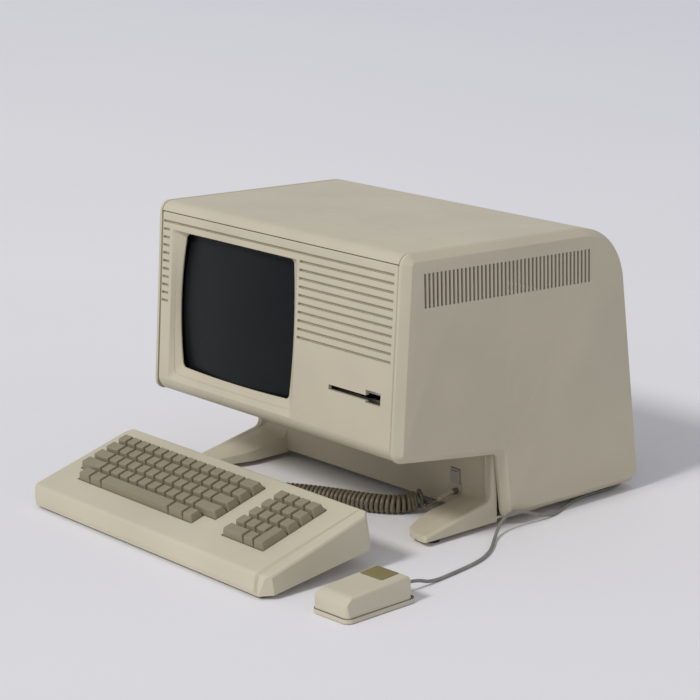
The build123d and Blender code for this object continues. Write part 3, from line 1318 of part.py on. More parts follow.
def mouse_hull(inset, low):
    """The mouse's body above a level: its side view, with walls that lean in toward its sloping top."""
    side = MOUSE_WIDTH / 2 - MOUSE_STEP - inset
    lean = tan(radians(MOUSE_DRAFT)) * MOUSE_HEIGHT
    nose = SHELL_FRONT + MOUSE_SLOPE_LENGTH
    top = MOUSE_HEIGHT * cos(SHELL_FALL) - inset
    corners = [
        (SHELL_FRONT, low),
        (SHELL_FRONT + MOUSE_FRONT_LEAN, MOUSE_FRONT_HEIGHT),
        (nose, mouse_top(nose)),
        (SHELL_TOP_BACK, MOUSE_HEIGHT),
        (SHELL_BACK, low),
    ]
    with BuildPart() as hull:
        with BuildSketch(SIDE_PLANE):
            with BuildLine():
                FilletPolyline(*corners, radius=[0.5, 3, 12, 5, 0.5], close=True)
            make_face()
            if inset:
                offset(amount=-inset)
        extrude(amount=MOUSE_WIDTH, both=True)
        with BuildSketch(Plane.XY):
            with Locations((0, (SHELL_FRONT + SHELL_BACK) / 2)):
                length = SHELL_BACK - SHELL_FRONT - 2 * inset
                RectangleRounded(2 * side, length, MOUSE_CORNER - MOUSE_STEP - inset)
        extrude(amount=MOUSE_HEIGHT + 5, both=True, mode=Mode.INTERSECT)
        across = Plane((0, SHELL_TOP_BACK, 0), x_dir=(1, 0, 0), z_dir=(0, -cos(SHELL_FALL), -sin(SHELL_FALL)))
        with BuildSketch(across):
            with BuildLine():
                FilletPolyline(
                    (-side, -MOUSE_HEIGHT),
                    (-side, low),
                    (-side + lean, top),
                    (side - lean, top),
                    (side, low),
                    (side, -MOUSE_HEIGHT),
                    radius=[0.5, 0.5, MOUSE_EDGE, MOUSE_EDGE, 0.5, 0.5],
                    close=True,
                )
            make_face()
        extrude(amount=MOUSE_LENGTH, both=True, mode=Mode.INTERSECT)
    return hull.part


def make_mouse_shells():
    """The upper shell with the button's opening, and the base plate with the ball's well."""
    outside = mouse_hull(0, MOUSE_SEAM)
    inside = mouse_hull(MOUSE_WALL, MOUSE_SEAM - 3 * MOUSE_WALL)
    opening = (CLICK_SIZE[0] + 2 * CLICK_GAP, CLICK_SIZE[1] + 2 * CLICK_GAP)
    with BuildPart() as mouse_top_shell:
        add(outside)
        add(inside, mode=Mode.SUBTRACT)
        with BuildSketch(Plane.XY.offset(MOUSE_HEIGHT - 3 * MOUSE_WALL)):
            with Locations(CLICK_AT):
                RectangleRounded(*opening, 2.5)
        extrude(amount=4 * MOUSE_WALL, mode=Mode.SUBTRACT)
        with BuildSketch(Plane.XZ.offset(-SHELL_BACK)):
            with Locations((0, CORD_HEIGHT)):
                Circle(RELIEF_RADIUS)
        extrude(amount=3 * MOUSE_WALL, both=True, mode=Mode.SUBTRACT)
    write(mouse_top_shell.part, "mouse_top_shell", MOUSE)

    ring_height = BALL_RADIUS + BALL_LIFT
    with BuildPart() as mouse_base_plate:
        with BuildSketch(Plane.XY.offset(MOUSE_GLIDE)):
            RectangleRounded(MOUSE_WIDTH, MOUSE_LENGTH, MOUSE_CORNER)
        extrude(amount=MOUSE_SEAM - MOUSE_GLIDE)
        with BuildSketch(Plane.XY.offset(MOUSE_GLIDE + MOUSE_WALL)):
            RectangleRounded(MOUSE_WIDTH - 4, MOUSE_LENGTH - 4, MOUSE_CORNER - 2)
        extrude(amount=MOUSE_SEAM, mode=Mode.SUBTRACT)
        with BuildSketch(Plane.XY.offset(MOUSE_GLIDE)):
            with Locations(BALL_AT):
                Circle(BALL_RADIUS + BALL_CLEARANCE + MOUSE_WALL)
        extrude(amount=ring_height)
        with BuildSketch(Plane.XY):
            with Locations(BALL_AT):
                Circle(BALL_RADIUS + BALL_CLEARANCE)
        extrude(amount=MOUSE_HEIGHT, mode=Mode.SUBTRACT)
        with BuildSketch(Plane.XY.offset(MOUSE_GLIDE)):
            with Locations(*[(x, ROLLER_Y_AT) for x in ROLLER_Y_BEARINGS]):
                Rectangle(BEARING_WIDTH, 7)
            with Locations(*[(ROLLER_X_AT, y) for y in ROLLER_X_BEARINGS]):
                Rectangle(7, BEARING_WIDTH)
        extrude(amount=ring_height + 3)
        with BuildSketch(Plane.XY.offset(ring_height - ROLLER_RADIUS - 1)):
            with Locations((BALL_AT[0], ROLLER_Y_AT)):
                Rectangle(ROLLER_LENGTH - 10, 2 * ROLLER_RADIUS + 2)
            with Locations((ROLLER_X_AT, BALL_AT[1])):
                Rectangle(2 * ROLLER_RADIUS + 2, ROLLER_LENGTH - 10)
        extrude(amount=10, mode=Mode.SUBTRACT)
        with BuildSketch(Plane.YZ):
            with Locations((ROLLER_Y_AT, ring_height)):
                Circle(JOURNAL_RADIUS + RUNNING_FIT)
        extrude(amount=MOUSE_WIDTH / 2 - 6, both=True, mode=Mode.SUBTRACT)
        with BuildSketch(Plane.XZ.offset(-BALL_AT[1])):
            with Locations((ROLLER_X_AT, ring_height)):
                Circle(JOURNAL_RADIUS + RUNNING_FIT)
        extrude(amount=ROLLER_LENGTH, both=True, mode=Mode.SUBTRACT)
    write(mouse_base_plate.part, "mouse_base_plate", MOUSE)


def make_mouse_inside():
    """The ball, its two pick-up rollers, the board with the click switch, and the glides."""
    axis_height = BALL_RADIUS + BALL_LIFT
    board_height = MOUSE_GLIDE + MOUSE_WALL + MOUSE_BOARD_LIFT
    with BuildPart() as mouse_ball:
        with Locations((BALL_AT[0], BALL_AT[1], axis_height)):
            Sphere(BALL_RADIUS)
    write(mouse_ball.part, "mouse_ball", MOUSE)

    with BuildPart() as mouse_roller_y:
        with BuildSketch(Plane.YZ.offset(BALL_AT[0])):
            with Locations((ROLLER_Y_AT, axis_height)):
                Circle(ROLLER_RADIUS)
        extrude(amount=ROLLER_LENGTH / 2 - 6, both=True)
        with BuildSketch(Plane.YZ.offset(BALL_AT[0])):
            with Locations((ROLLER_Y_AT, axis_height)):
                Circle(JOURNAL_RADIUS)
        extrude(amount=ROLLER_LENGTH / 2, both=True)
    write(mouse_roller_y.part, "mouse_roller_y", MOUSE)

    with BuildPart() as mouse_roller_x:
        with BuildSketch(Plane.XZ.offset(-BALL_AT[1])):
            with Locations((ROLLER_X_AT, axis_height)):
                Circle(ROLLER_RADIUS)
        extrude(amount=ROLLER_LENGTH / 2 - 6, both=True)
        with BuildSketch(Plane.XZ.offset(-BALL_AT[1])):
            with Locations((ROLLER_X_AT, axis_height)):
                Circle(JOURNAL_RADIUS)
        extrude(amount=ROLLER_LENGTH / 2, both=True)
    write(mouse_roller_x.part, "mouse_roller_x", MOUSE)

    with BuildPart() as mouse_circuit_board:
        with BuildSketch(Plane.XY.offset(MOUSE_GLIDE + MOUSE_WALL)):
            with Locations((-20, 12), (20, 12), (-20, 36), (20, 36)):
                Circle(2.5)
        extrude(amount=MOUSE_BOARD_LIFT)
        with BuildSketch(Plane.XY.offset(board_height)):
            with Locations(MOUSE_BOARD_AT):
                Rectangle(*MOUSE_BOARD)
        extrude(amount=BOARD)
        with BuildSketch(Plane.XY.offset(board_height + BOARD)):
            with Locations(CLICK_AT):
                Rectangle(SWITCH_BODY[0], SWITCH_BODY[1])
        extrude(amount=SWITCH_BODY[2])
    write(mouse_circuit_board.part, "mouse_circuit_board", MOUSE)

    with BuildPart() as mouse_glides:
        with BuildSketch(Plane.XY):
            with Locations((0, MOUSE_LENGTH / 2 - GLIDE_INSET), (0, GLIDE_INSET - MOUSE_LENGTH / 2)):
                RectangleRounded(*GLIDE_SIZE, 2)
        extrude(amount=MOUSE_GLIDE)
    write(mouse_glides.part, "mouse_glides", MOUSE)


def make_mouse_button():
    """The wide click button: a flat cap with a stem down to the switch."""
    switch_top = MOUSE_GLIDE + MOUSE_WALL + MOUSE_BOARD_LIFT + BOARD + SWITCH_BODY[2]
    lift = mouse_top(CLICK_AT[1])
    face = Plane((*CLICK_AT, lift), x_dir=(1, 0, 0), z_dir=(0, -sin(SHELL_FALL), cos(SHELL_FALL)))
    with BuildPart() as mouse_button:
        with BuildSketch(face.offset(CLICK_PROUD)):
            RectangleRounded(*CLICK_SIZE, 2)
        extrude(amount=-CLICK_CAP)
        fillet(mouse_button.faces().sort_by(Axis.Z)[-1].edges(), 0.8)
        with BuildSketch(Plane.XY.offset(lift - CLICK_CAP / 2)):
            with Locations(CLICK_AT):
                Rectangle(*CLICK_STEM)
        extrude(amount=-(lift - CLICK_CAP / 2 - switch_top - CLICK_TRAVEL - CLICK_REST))
    write(mouse_button.part, "mouse_button", MOUSE)


# ================================================================ cords


def run_lengths(points):
    """Lengths of the straight runs between a route's points."""
    return [(Vector(*b) - Vector(*a)).length for a, b in zip(points, points[1:])]


def arc_radii(points):
    """The largest arc that each corner of a route leaves room for."""
    runs = run_lengths(points)
    radii = []
    for i in range(1, len(points) - 1):
        before = Vector(*points[i]) - Vector(*points[i - 1])
        after = Vector(*points[i + 1]) - Vector(*points[i])
        turn = radians(before.get_angle(after))
        radii.append(0.45 * min(runs[i - 1], runs[i]) / tan(turn / 2))
    return radii


def tube(points, diameter):
    """A round tube along a route of straight runs joined by tangent arcs."""
    start = Vector(*points[0])
    heading = Vector(*points[1]) - start
    with BuildPart() as made:
        with BuildLine() as path:
            FilletPolyline(*points, radius=arc_radii(points))
        with BuildSketch(Plane(origin=start, z_dir=heading)):
            Circle(diameter / 2)
        sweep(path=path.wires()[0])
    return made.part


def make_keyboard_plug():
    """The plug in the jack with the relief that droops from it."""
    with BuildPart() as plug_pin:
        with BuildSketch(Plane.XZ.offset(JACK_FLANGE - WALL_FRONT)):
            with Locations(JACK_AT):
                Circle(PLUG_RADIUS)
        extrude(amount=WALL_FRONT - JACK_FLANGE - RELIEF_ROUTE[0][1])
        with BuildSketch(Plane.XZ.offset(JACK_FLANGE - WALL_FRONT)):
            with Locations(JACK_AT):
                Circle(JACK_BORE - PLUG_FIT)
        extrude(amount=-PLUG_PIN)
        with BuildLine() as path:
            FilletPolyline(*RELIEF_ROUTE, radius=arc_radii(RELIEF_ROUTE))
        start = Plane(origin=RELIEF_ROUTE[0], z_dir=Vector(*RELIEF_ROUTE[1]) - Vector(*RELIEF_ROUTE[0]))
        with BuildSketch(start):
            Circle(SPIRAL_DIAMETER / 2)
        sweep(path=path.wires()[0])
    write(plug_pin.part, "keyboard_plug", COMPUTER)


def make_keyboard_cord():
    """The straight leads at both ends, the curly stretch as one fat tube, and the gland."""
    lead = tube(KEYBOARD_LEAD, LEAD_DIAMETER)
    tail = tube(KEYBOARD_TAIL, LEAD_DIAMETER)
    with BuildPart() as leads:
        add(lead)
        add(tail)
    write(leads.part, "keyboard_cord_leads", COMPUTER)
    write(tube(COIL_ROUTE, COIL_DIAMETER), "keyboard_cord_coil", COMPUTER)
    with BuildPart() as keyboard_gland:
        with BuildSketch(BACK_PLANE):
            Circle(GROMMET_RADIUS)
        extrude(amount=GROMMET_LENGTH)
        with BuildSketch(BACK_PLANE):
            Circle(GROMMET_NECK - 0.1)
        extrude(amount=-2 * KEYS_WALL)
    write(keyboard_gland.part, "keyboard_gland", KEYBOARD)


def make_mouse_cord():
    """The mouse's cord: along the desk, a stored coil behind the computer, and the lead to the port."""
    along_desk = tube(MOUSE_ROUTE, MOUSE_CORD_DIAMETER)
    to_port = tube(PORT_LEAD, MOUSE_CORD_DIAMETER)
    with BuildPart() as mouse_cord:
        add(along_desk)
        add(to_port)
    write(mouse_cord.part, "mouse_cord", COMPUTER)

    half = STORED_COIL_SECTION / 2
    with BuildPart() as mouse_cord_coil:
        with BuildSketch(Plane.XY.offset(0.2)):
            with Locations(STORED_COIL_AT):
                Circle(STORED_COIL_RADIUS + half)
                Circle(STORED_COIL_RADIUS - half, mode=Mode.SUBTRACT)
        extrude(amount=STORED_COIL_SECTION)
        fillet(mouse_cord_coil.edges(), 2)
    write(mouse_cord_coil.part, "mouse_cord_coil", COMPUTER)

    with BuildPart() as mouse_cord_relief:
        with BuildSketch(Plane.XZ.offset(1.5 * MOUSE_WALL - SHELL_BACK)):
            with Locations((0, CORD_HEIGHT)):
                Circle(RELIEF_RADIUS - 0.1)
        extrude(amount=-(MOUSE_LENGTH / 2 + RELIEF_LENGTH - SHELL_BACK + 1.5 * MOUSE_WALL))
    write(mouse_cord_relief.part, "mouse_cord_relief", MOUSE)

    port_end = PAN_BACK - SKIN + PORT_STAND_OUT
    hood_end = port_end + PLUG_HOOD[2]
    with BuildPart() as mouse_plug:
        with BuildSketch(Plane.XZ.offset(-port_end)):
            with Locations((MOUSE_PORT_X, PORT_LEVEL)):
                RectangleRounded(PLUG_HOOD[0], PLUG_HOOD[1], 3)
        extrude(amount=-PLUG_HOOD[2])
        with BuildSketch(Plane.XZ.offset(-hood_end)):
            with Locations((MOUSE_PORT_X, PORT_LEVEL)):
                Circle(RELIEF_RADIUS)
        extrude(amount=-(PORT_LEAD[-1][1] - hood_end))
    write(mouse_plug.part, "mouse_plug", COMPUTER)


if __name__ == "__main__":
    make_side_panels()
    make_top_cover()
    make_rear_cover()
    make_base_housing()
    make_rubber_feet()
    make_front_bezel()
    make_cover_screws()
    make_picture_tube()
    make_chassis()
    make_video_board()
    make_power_supply()
    make_cards()
    make_disk_drive()
    make_speaker()
    make_rear_ports()
    make_front_controls()
    make_keyboard_top_case()
    make_keyboard_bottom_case()
    make_keyboard_feet()
    make_keyboard_inside()
    make_keys()
    make_mouse_shells()
    make_mouse_inside()
    make_mouse_button()
    make_keyboard_plug()
    make_keyboard_cord()
    make_mouse_cord()
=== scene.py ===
"""A one-piece desktop computer with its keyboard and one-button mouse, dressed over its CAD frame.

Metres, +Z up, the front faces -Y. desk() turns a point of the computer's own frame, in
millimetres, into the shared frame's metres. Other numbers in millimetres are multiplied by MM.
"""

import json
from math import atan2, cos, pi, radians, sin

import bmesh
import bpy
from mathutils import Matrix, Vector

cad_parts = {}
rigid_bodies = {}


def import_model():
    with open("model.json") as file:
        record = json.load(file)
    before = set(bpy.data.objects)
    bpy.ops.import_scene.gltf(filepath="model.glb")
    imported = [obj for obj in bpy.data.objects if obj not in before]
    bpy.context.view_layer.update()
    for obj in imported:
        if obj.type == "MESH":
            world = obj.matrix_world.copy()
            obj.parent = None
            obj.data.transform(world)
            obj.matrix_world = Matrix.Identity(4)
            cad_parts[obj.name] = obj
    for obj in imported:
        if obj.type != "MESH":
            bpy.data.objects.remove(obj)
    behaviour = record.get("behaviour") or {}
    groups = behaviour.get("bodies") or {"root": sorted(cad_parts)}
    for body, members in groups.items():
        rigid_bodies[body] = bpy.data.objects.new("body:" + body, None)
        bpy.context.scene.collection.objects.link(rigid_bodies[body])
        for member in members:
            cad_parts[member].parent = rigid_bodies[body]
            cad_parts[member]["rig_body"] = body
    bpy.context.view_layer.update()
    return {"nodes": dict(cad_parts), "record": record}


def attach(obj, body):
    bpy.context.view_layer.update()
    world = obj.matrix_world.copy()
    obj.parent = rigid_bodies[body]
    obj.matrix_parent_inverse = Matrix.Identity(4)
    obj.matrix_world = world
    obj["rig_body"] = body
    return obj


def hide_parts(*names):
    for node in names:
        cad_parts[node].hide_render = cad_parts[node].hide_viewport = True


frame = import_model()
NODES = frame["nodes"]

MM = 0.001
COMPUTER_AT = Vector((-57.0, -98.0, 0.0))


def desk(x, y, z):
    """A point of the computer's frame, in millimetres, as metres in the shared frame."""
    return (Vector((x, y, z)) + COMPUTER_AT) * MM


def add_object(name, data):
    piece = bpy.data.objects.new(name, data)
    bpy.context.scene.collection.objects.link(piece)
    return piece


# ---------------------------------------------------------------- camera, fitted to the photo
CAMERA_AT = (2.1654, -1.7902, 0.9268)
CAMERA_AZIMUTH = radians(50.632)
CAMERA_PITCH = radians(14.57)
CAMERA_ROLL = radians(-1.454)
CAMERA_LENS = 125.55
SENSOR_WIDTH = 36.0
CLIP_END = 60.0


def make_camera():
    azimuth, pitch, roll = CAMERA_AZIMUTH, CAMERA_PITCH, CAMERA_ROLL
    forward = Vector((-sin(azimuth) * cos(pitch), cos(azimuth) * cos(pitch), -sin(pitch)))
    right = Vector((cos(azimuth), sin(azimuth), 0.0))
    up = right.cross(forward)
    side = cos(roll) * right + sin(roll) * up
    top = cos(roll) * up - sin(roll) * right
    data = bpy.data.cameras.new("photo_camera")
    data.lens = CAMERA_LENS
    data.sensor_width = SENSOR_WIDTH
    data.clip_end = CLIP_END
    camera = add_object("photo_camera", data)
    turned = Matrix((side, top, -forward)).transposed().to_4x4()
    camera.matrix_world = Matrix.Translation(CAMERA_AT) @ turned
    bpy.context.scene.camera = camera


make_camera()


# ---------------------------------------------------------------- shader nodes
def srgb(r, g, b):
    """An sRGB colour, 0 to 255, as linear values."""
    shares = (c / 255 for c in (r, g, b))
    return [c / 12.92 if c <= 0.04045 else ((c + 0.055) / 1.055) ** 2.4 for c in shares] + [1.0]


def shade(colour, factor):
    """A linear colour made darker or lighter."""
    return [c * factor for c in colour[:3]] + [1.0]


class Nodes:
    """Adds and links the nodes of one shader tree."""

    def __init__(self, tree):
        self.tree = tree

    def feed(self, socket, value):
        """Links a socket to another node's output, or sets its constant."""
        if isinstance(value, bpy.types.NodeSocket):
            self.tree.links.new(value, socket)
        else:
            socket.default_value = value

    def add(self, kind, inputs=(), **settings):
        node = self.tree.nodes.new(kind)
        for key, value in settings.items():
            setattr(node, key, value)
        for key, value in dict(inputs).items():
            self.feed(node.inputs[key], value)
        return node

    def maths(self, operation, *values):
        return self.add("ShaderNodeMath", dict(enumerate(values)), operation=operation).outputs[0]


class Finish(Nodes):
    """The nodes of one material."""

    def __init__(self, name):
        self.material = bpy.data.materials.new(name)
        self.material.use_nodes = True
        super().__init__(self.material.node_tree)
        self.shader = self.tree.nodes["Principled BSDF"]
        self.place = self.add("ShaderNodeTexCoord").outputs["Object"]

    def noise(self, scale, detail=3.0, roughness=0.5, place=None):
        inputs = {
            "Vector": place or self.place,
            "Scale": scale,
            "Detail": detail,
            "Roughness": roughness,
        }
        return self.add("ShaderNodeTexNoise", inputs).outputs["Fac"]

    def spread(self, value, low, high, start=0.3, end=0.7):
        """A value between start and end, spread from low to high. The defaults suit a noise."""
        inputs = {"Value": value, "From Min": start, "From Max": end, "To Min": low, "To Max": high}
        return self.add("ShaderNodeMapRange", inputs).outputs["Result"]

    def mix(self, factor, first, second):
        node = self.add("ShaderNodeMix", {0: factor, 6: first, 7: second}, data_type="RGBA")
        return node.outputs[2]

    def bump(self, height, distance, strength=1.0):
        inputs = {"Height": height, "Distance": distance, "Strength": strength}
        return self.add("ShaderNodeBump", inputs).outputs["Normal"]

    def along(self, axis):
        """The place along one axis."""
        return self.add("ShaderNodeSeparateXYZ", {"Vector": self.place}).outputs[axis]

    def level_line(self, height, half, strength):
        """Strong within half a level line's thickness of its height, and none twice as far away."""
        gap = self.maths("ABSOLUTE", self.maths("SUBTRACT", self.along("Z"), height))
        return self.spread(gap, strength, 0.0, half, half * 2)

    def done(self, **inputs):
        """The material, with its shader's inputs fed."""
        for key, value in inputs.items():
            self.feed(self.shader.inputs[key.replace("_", " ")], value)
        return self.material


# ---------------------------------------------------------------- materials
# The mouse's seam line is painted shadow: a dark line in the plastic's colour at the seam's height,
# standing in for shade in the gap between shell and base.
MOUSE_SEAM_HEIGHT = 6.1 * MM
MOUSE_SEAM_HALF = 0.3 * MM
MOUSE_SEAM_SHADOW_STRENGTH = 0.75
SEAM_PAINTED_SHADOW = srgb(70, 66, 56)


def moulded(
    name, colour, roughness=0.5, grain=1500.0, depth=0.04, mottle=0.05, speck=0.12, seam_shadow=None
):
    """Moulded plastic: a fine spark-eroded grain, and a colour made a little uneven by age. A seam,
    when given, is painted shadow: a dark line at one height.
    """
    n = Finish(name)
    cloud = n.noise(7.0, 4.0)
    tone = n.mix(n.spread(cloud, 0.0, 1.0), shade(colour, 1 - mottle), shade(colour, 1 + mottle))
    fine = n.noise(grain, 2.0)
    tone = n.mix(n.spread(fine, 0.0, speck, 0.5, 0.85), tone, shade(colour, 0.72))
    if seam_shadow:
        # painted shadow: a dark line mixed into the colour along the seam
        tone = n.mix(n.level_line(*seam_shadow), tone, SEAM_PAINTED_SHADOW)
    return n.done(
        Base_Color=tone,
        Roughness=n.spread(n.noise(60.0, 3.0), roughness - 0.05, roughness + 0.05),
        Normal=n.bump(fine, depth * MM, 0.35),
        Specular_IOR_Level=0.4,
    )


def metal(name, colour, roughness=0.35):
    """Plated sheet steel with fine lines along X."""
    n = Finish(name)
    stretched = n.add("ShaderNodeMapping", {"Vector": n.place, "Scale": (40.0, 900.0, 900.0)})
    lines = n.noise(1.0, 3.0, place=stretched.outputs["Vector"])
    return n.done(
        Base_Color=n.mix(n.spread(n.noise(25.0), 0.0, 1.0), shade(colour, 0.86), colour),
        Roughness=n.spread(lines, roughness - 0.1, roughness + 0.12),
        Metallic=1.0,
        Normal=n.bump(lines, 0.02 * MM, 0.4),
    )


def glass_face(name):
    """The picture tube's dark face, etched against glare, with a little dust."""
    n = Finish(name)
    dust = n.spread(n.noise(900.0, 5.0, 0.7), 0.0, 0.12, 0.62, 0.8)
    tone = n.mix(n.spread(n.noise(5.0), 0.0, 1.0), srgb(20, 23, 25), srgb(27, 30, 32))
    return n.done(
        Base_Color=n.mix(dust, tone, srgb(80, 80, 78)),
        Roughness=n.spread(n.noise(30.0), 0.3, 0.38),
        Normal=n.bump(n.noise(3000.0, 2.0), 0.004 * MM, 0.3),
        IOR=1.2,
    )


def board(name, colour):
    """A circuit board's lacquer, with tracks that show through as paler lines."""
    n = Finish(name)
    cells = n.add(
        "ShaderNodeTexVoronoi", {"Vector": n.place, "Scale": 180.0}, feature="DISTANCE_TO_EDGE"
    )
    tracks = n.spread(cells.outputs["Distance"], 0.7, 0.0, 0.02, 0.06)
    return n.done(
        Base_Color=n.mix(tracks, colour, shade(colour, 1.7)),
        Roughness=n.spread(n.noise(50.0), 0.3, 0.45),
        Normal=n.bump(tracks, 0.1 * MM, 0.5),
    )


def rubber(name, colour, roughness=0.7):
    """Rubber or a cord's soft sheath."""
    n = Finish(name)
    tone = n.mix(n.spread(n.noise(90.0, 4.0), 0.0, 1.0), shade(colour, 0.85), shade(colour, 1.15))
    return n.done(
        Base_Color=tone,
        Roughness=roughness,
        Normal=n.bump(n.noise(1200.0), 0.03 * MM, 0.5),
    )


MATERIALS = {
    "cabinet_beige": moulded("cabinet_plastic", srgb(200, 192, 170)),
    "keyboard_beige": moulded("keyboard_plastic", srgb(203, 196, 174)),
    "mouse_beige": moulded(
        "mouse_plastic",
        srgb(204, 197, 176),
        roughness=0.45,
        seam_shadow=(MOUSE_SEAM_HEIGHT, MOUSE_SEAM_HALF, MOUSE_SEAM_SHADOW_STRENGTH),
    ),
    "keycap_taupe": moulded(
        "keycap_plastic", srgb(146, 137, 115), grain=1100.0, depth=0.06, mottle=0.04, speck=0.2
    ),
    "mouse_button_olive": moulded("mouse_button_plastic", srgb(130, 120, 80)),
    "tube_glass": glass_face("tube_face_glass"),
    "control_grey": moulded("control_plastic", srgb(172, 170, 162), roughness=0.45),
    "black_plastic": moulded("black_moulding", srgb(38, 37, 36), roughness=0.4, mottle=0.15),
    "bare_steel": metal("plated_steel", srgb(186, 184, 178)),
    "board_green": board("board_lacquer", srgb(40, 84, 52)),
    "foot_rubber": rubber("soft_rubber", srgb(48, 46, 44)),
    "cord_brown": rubber("curly_cord_sheath", srgb(112, 103, 84), 0.4),
    "cord_grey": rubber("mouse_cord_sheath", srgb(132, 131, 124), 0.5),
}


def finish_with(piece, slot):
    """Gives a piece the material of a record slot, in place of its own materials."""
    piece.data.materials.clear()
    piece.data.materials.append(MATERIALS[slot])


def fit(piece, slot, body, *nodes):
    """Finishes a new piece, and lets it ride on a body in the place of CAD nodes."""
    finish_with(piece, slot)
    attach(piece, body)
    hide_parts(*nodes)


# ---------------------------------------------------------------- lines
def nurbs(name, points, diameter, resolution=8):
    """One open NURBS spline that has the route's points as its control points."""
    curve = bpy.data.curves.new(name, "CURVE")
    curve.dimensions = "3D"
    curve.resolution_u = resolution
    curve.bevel_depth = diameter / 2
    curve.bevel_resolution = 4
    curve.use_fill_caps = True
    spline = curve.splines.new("NURBS")
    spline.points.add(len(points) - 1)
    for place, point in zip(spline.points, points):
        place.co = (*point, 1.0)
    spline.order_u = 3
    spline.use_endpoint_u = True
    return add_object(name, curve)


def followed(points, resolution=12):
    """Points along the smooth NURBS line that the route's points control."""
    guide = nurbs("guide", points, 0.0, resolution)
    bpy.context.view_layer.update()
    mesh = bpy.data.meshes.new_from_object(guide)
    line = [v.co.copy() for v in mesh.vertices]
    bpy.data.meshes.remove(mesh)
    bpy.data.objects.remove(guide)
    return line


def stations(line):
    """The distance along a line of each of its points."""
    run = [0.0]
    for a, b in zip(line, line[1:]):
        run.append(run[-1] + (b - a).length)
    return run


def walk(line, run, distance):
    """The point and the direction at a distance along a line."""
    distance = min(max(distance, 0.0), run[-1])
    for i in range(len(line) - 1):
        if run[i + 1] >= distance or i == len(line) - 2:
            span = run[i + 1] - run[i]
            t = (distance - run[i]) / span if span else 0.0
            return line[i].lerp(line[i + 1], t), (line[i + 1] - line[i]).normalized()


def around(direction):
    """Two directions square to a line, the first level."""
    flat = Vector((-direction.y, direction.x, 0.0)).normalized()
    return flat, direction.cross(flat)


def eased(start, leave, end, arrive, steps):
    """Points between two ends of a cord, which leaves and arrives along the given directions."""
    reach = (end - start).length
    points = []
    for i in range(1, steps):
        t = i / steps
        points.append(
            start * (2 * t**3 - 3 * t**2 + 1)
            + leave * reach * (t**3 - 2 * t**2 + t)
            + end * (3 * t**2 - 2 * t**3)
            + arrive * reach * (t**3 - t**2)
        )
    return points


def route(*points):
    return [desk(*p) for p in points]


# ---------------------------------------------------------------- the keyboard's curly cord
LEAD_ROUTE = route((151.5, 136, 22.5), (145, 130.5, 16.6), (136, 132, 11.5), (126.5, 137.5, 9.8))
COIL_ROUTE = route(
    (120, 143, 18.5),
    (114, 120, 12.2),
    (92, 98.5, 12.2),
    (54, 82.5, 12.2),
    (20, 70, 12.2),
    (-10, 55, 12.2),
    (-40, 36, 12.2),
    (-62, 26, 12.2),
)
TAIL_ROUTE = route(
    (-62, 26, 12.2),
    (-80, 20, 8.5),
    (-103, 22, 14),
    (-110, -0.7, 41.1),
    (-110, -20.4, 37.4),
)
LEAD_DIAMETER = 5.0 * MM
COIL_DIAMETER = 23.5 * MM
COIL_TURNS = 37.75
TURN_POINTS = 14
LOOSE_SHIFT = 0.02  # how far the loose turns lie past their even places, as a share of the coil
LOOSE_SHARE = 1 / 12  # of the coil, from the plug's end
LEAD_STEPS = 5
TAIL_STEPS = 6


def curly_points():
    """The cord's own points: the lead, the helix with its first turns loose, and the tail."""
    line = followed(COIL_ROUTE)
    run = stations(line)
    radius = (COIL_DIAMETER - LEAD_DIAMETER) / 2
    steps = int(COIL_TURNS * TURN_POINTS)
    helix = []
    for i in range(steps + 1):
        share = i / steps
        loose = LOOSE_SHIFT * sin(pi * min(share / LOOSE_SHARE, 1.0))
        centre, direction = walk(line, run, run[-1] * (share + loose))
        flat, rise = around(direction)
        angle = -2 * pi * i / TURN_POINTS - 0.5 * pi
        helix.append(centre + radius * (cos(angle) * flat + sin(angle) * rise))
    first = (helix[1] - helix[0]).normalized()
    last = (helix[-1] - helix[-2]).normalized()
    lead_way = (LEAD_ROUTE[3] - LEAD_ROUTE[2]).normalized()
    tail_way = (TAIL_ROUTE[2] - TAIL_ROUTE[1]).normalized()
    into = eased(LEAD_ROUTE[2], lead_way, helix[0], first, LEAD_STEPS)
    out = eased(helix[-1], last, TAIL_ROUTE[1], tail_way, TAIL_STEPS)
    return LEAD_ROUTE[:3] + into + helix + out + TAIL_ROUTE[1:]


keyboard_cord = nurbs("keyboard_curly_cord", curly_points(), LEAD_DIAMETER, 4)
fit(keyboard_cord, "cord_brown", "computer", "keyboard_cord_leads", "keyboard_cord_coil")


# ---------------------------------------------------------------- meshes
ROUND_SHARP = 50  # degrees, for round parts and keycaps
MOULDED_SHARP = 35  # degrees, for mouldings and carried-over nodes


def smooth(mesh, sharp):
    """Smooth faces, split where the mesh turns by more than an angle in degrees."""
    mesh.polygons.foreach_set("use_smooth", [True] * len(mesh.polygons))
    mesh.set_sharp_from_angle(angle=radians(sharp))


def mesh_piece(name, shape, sharp):
    """An object from a bmesh, which is freed."""
    mesh = bpy.data.meshes.new(name)
    shape.to_mesh(mesh)
    shape.free()
    smooth(mesh, sharp)
    return add_object(name, mesh)


def skin(shape, rows):
    """Closes rings of vertices, all of one length, into a solid."""
    for lower, upper in zip(rows, rows[1:]):
        for i in range(len(lower)):
            j = (i + 1) % len(lower)
            shape.faces.new((lower[i], lower[j], upper[j], upper[i]))
    shape.faces.new(rows[-1])
    shape.faces.new(list(reversed(rows[0])))


def tube(name, rings):
    """A closed skin over rings of points."""
    shape = bmesh.new()
    skin(shape, [[shape.verts.new(point) for point in ring] for ring in rings])
    bmesh.ops.recalc_face_normals(shape, faces=shape.faces)
    return mesh_piece(name, shape, ROUND_SHARP)


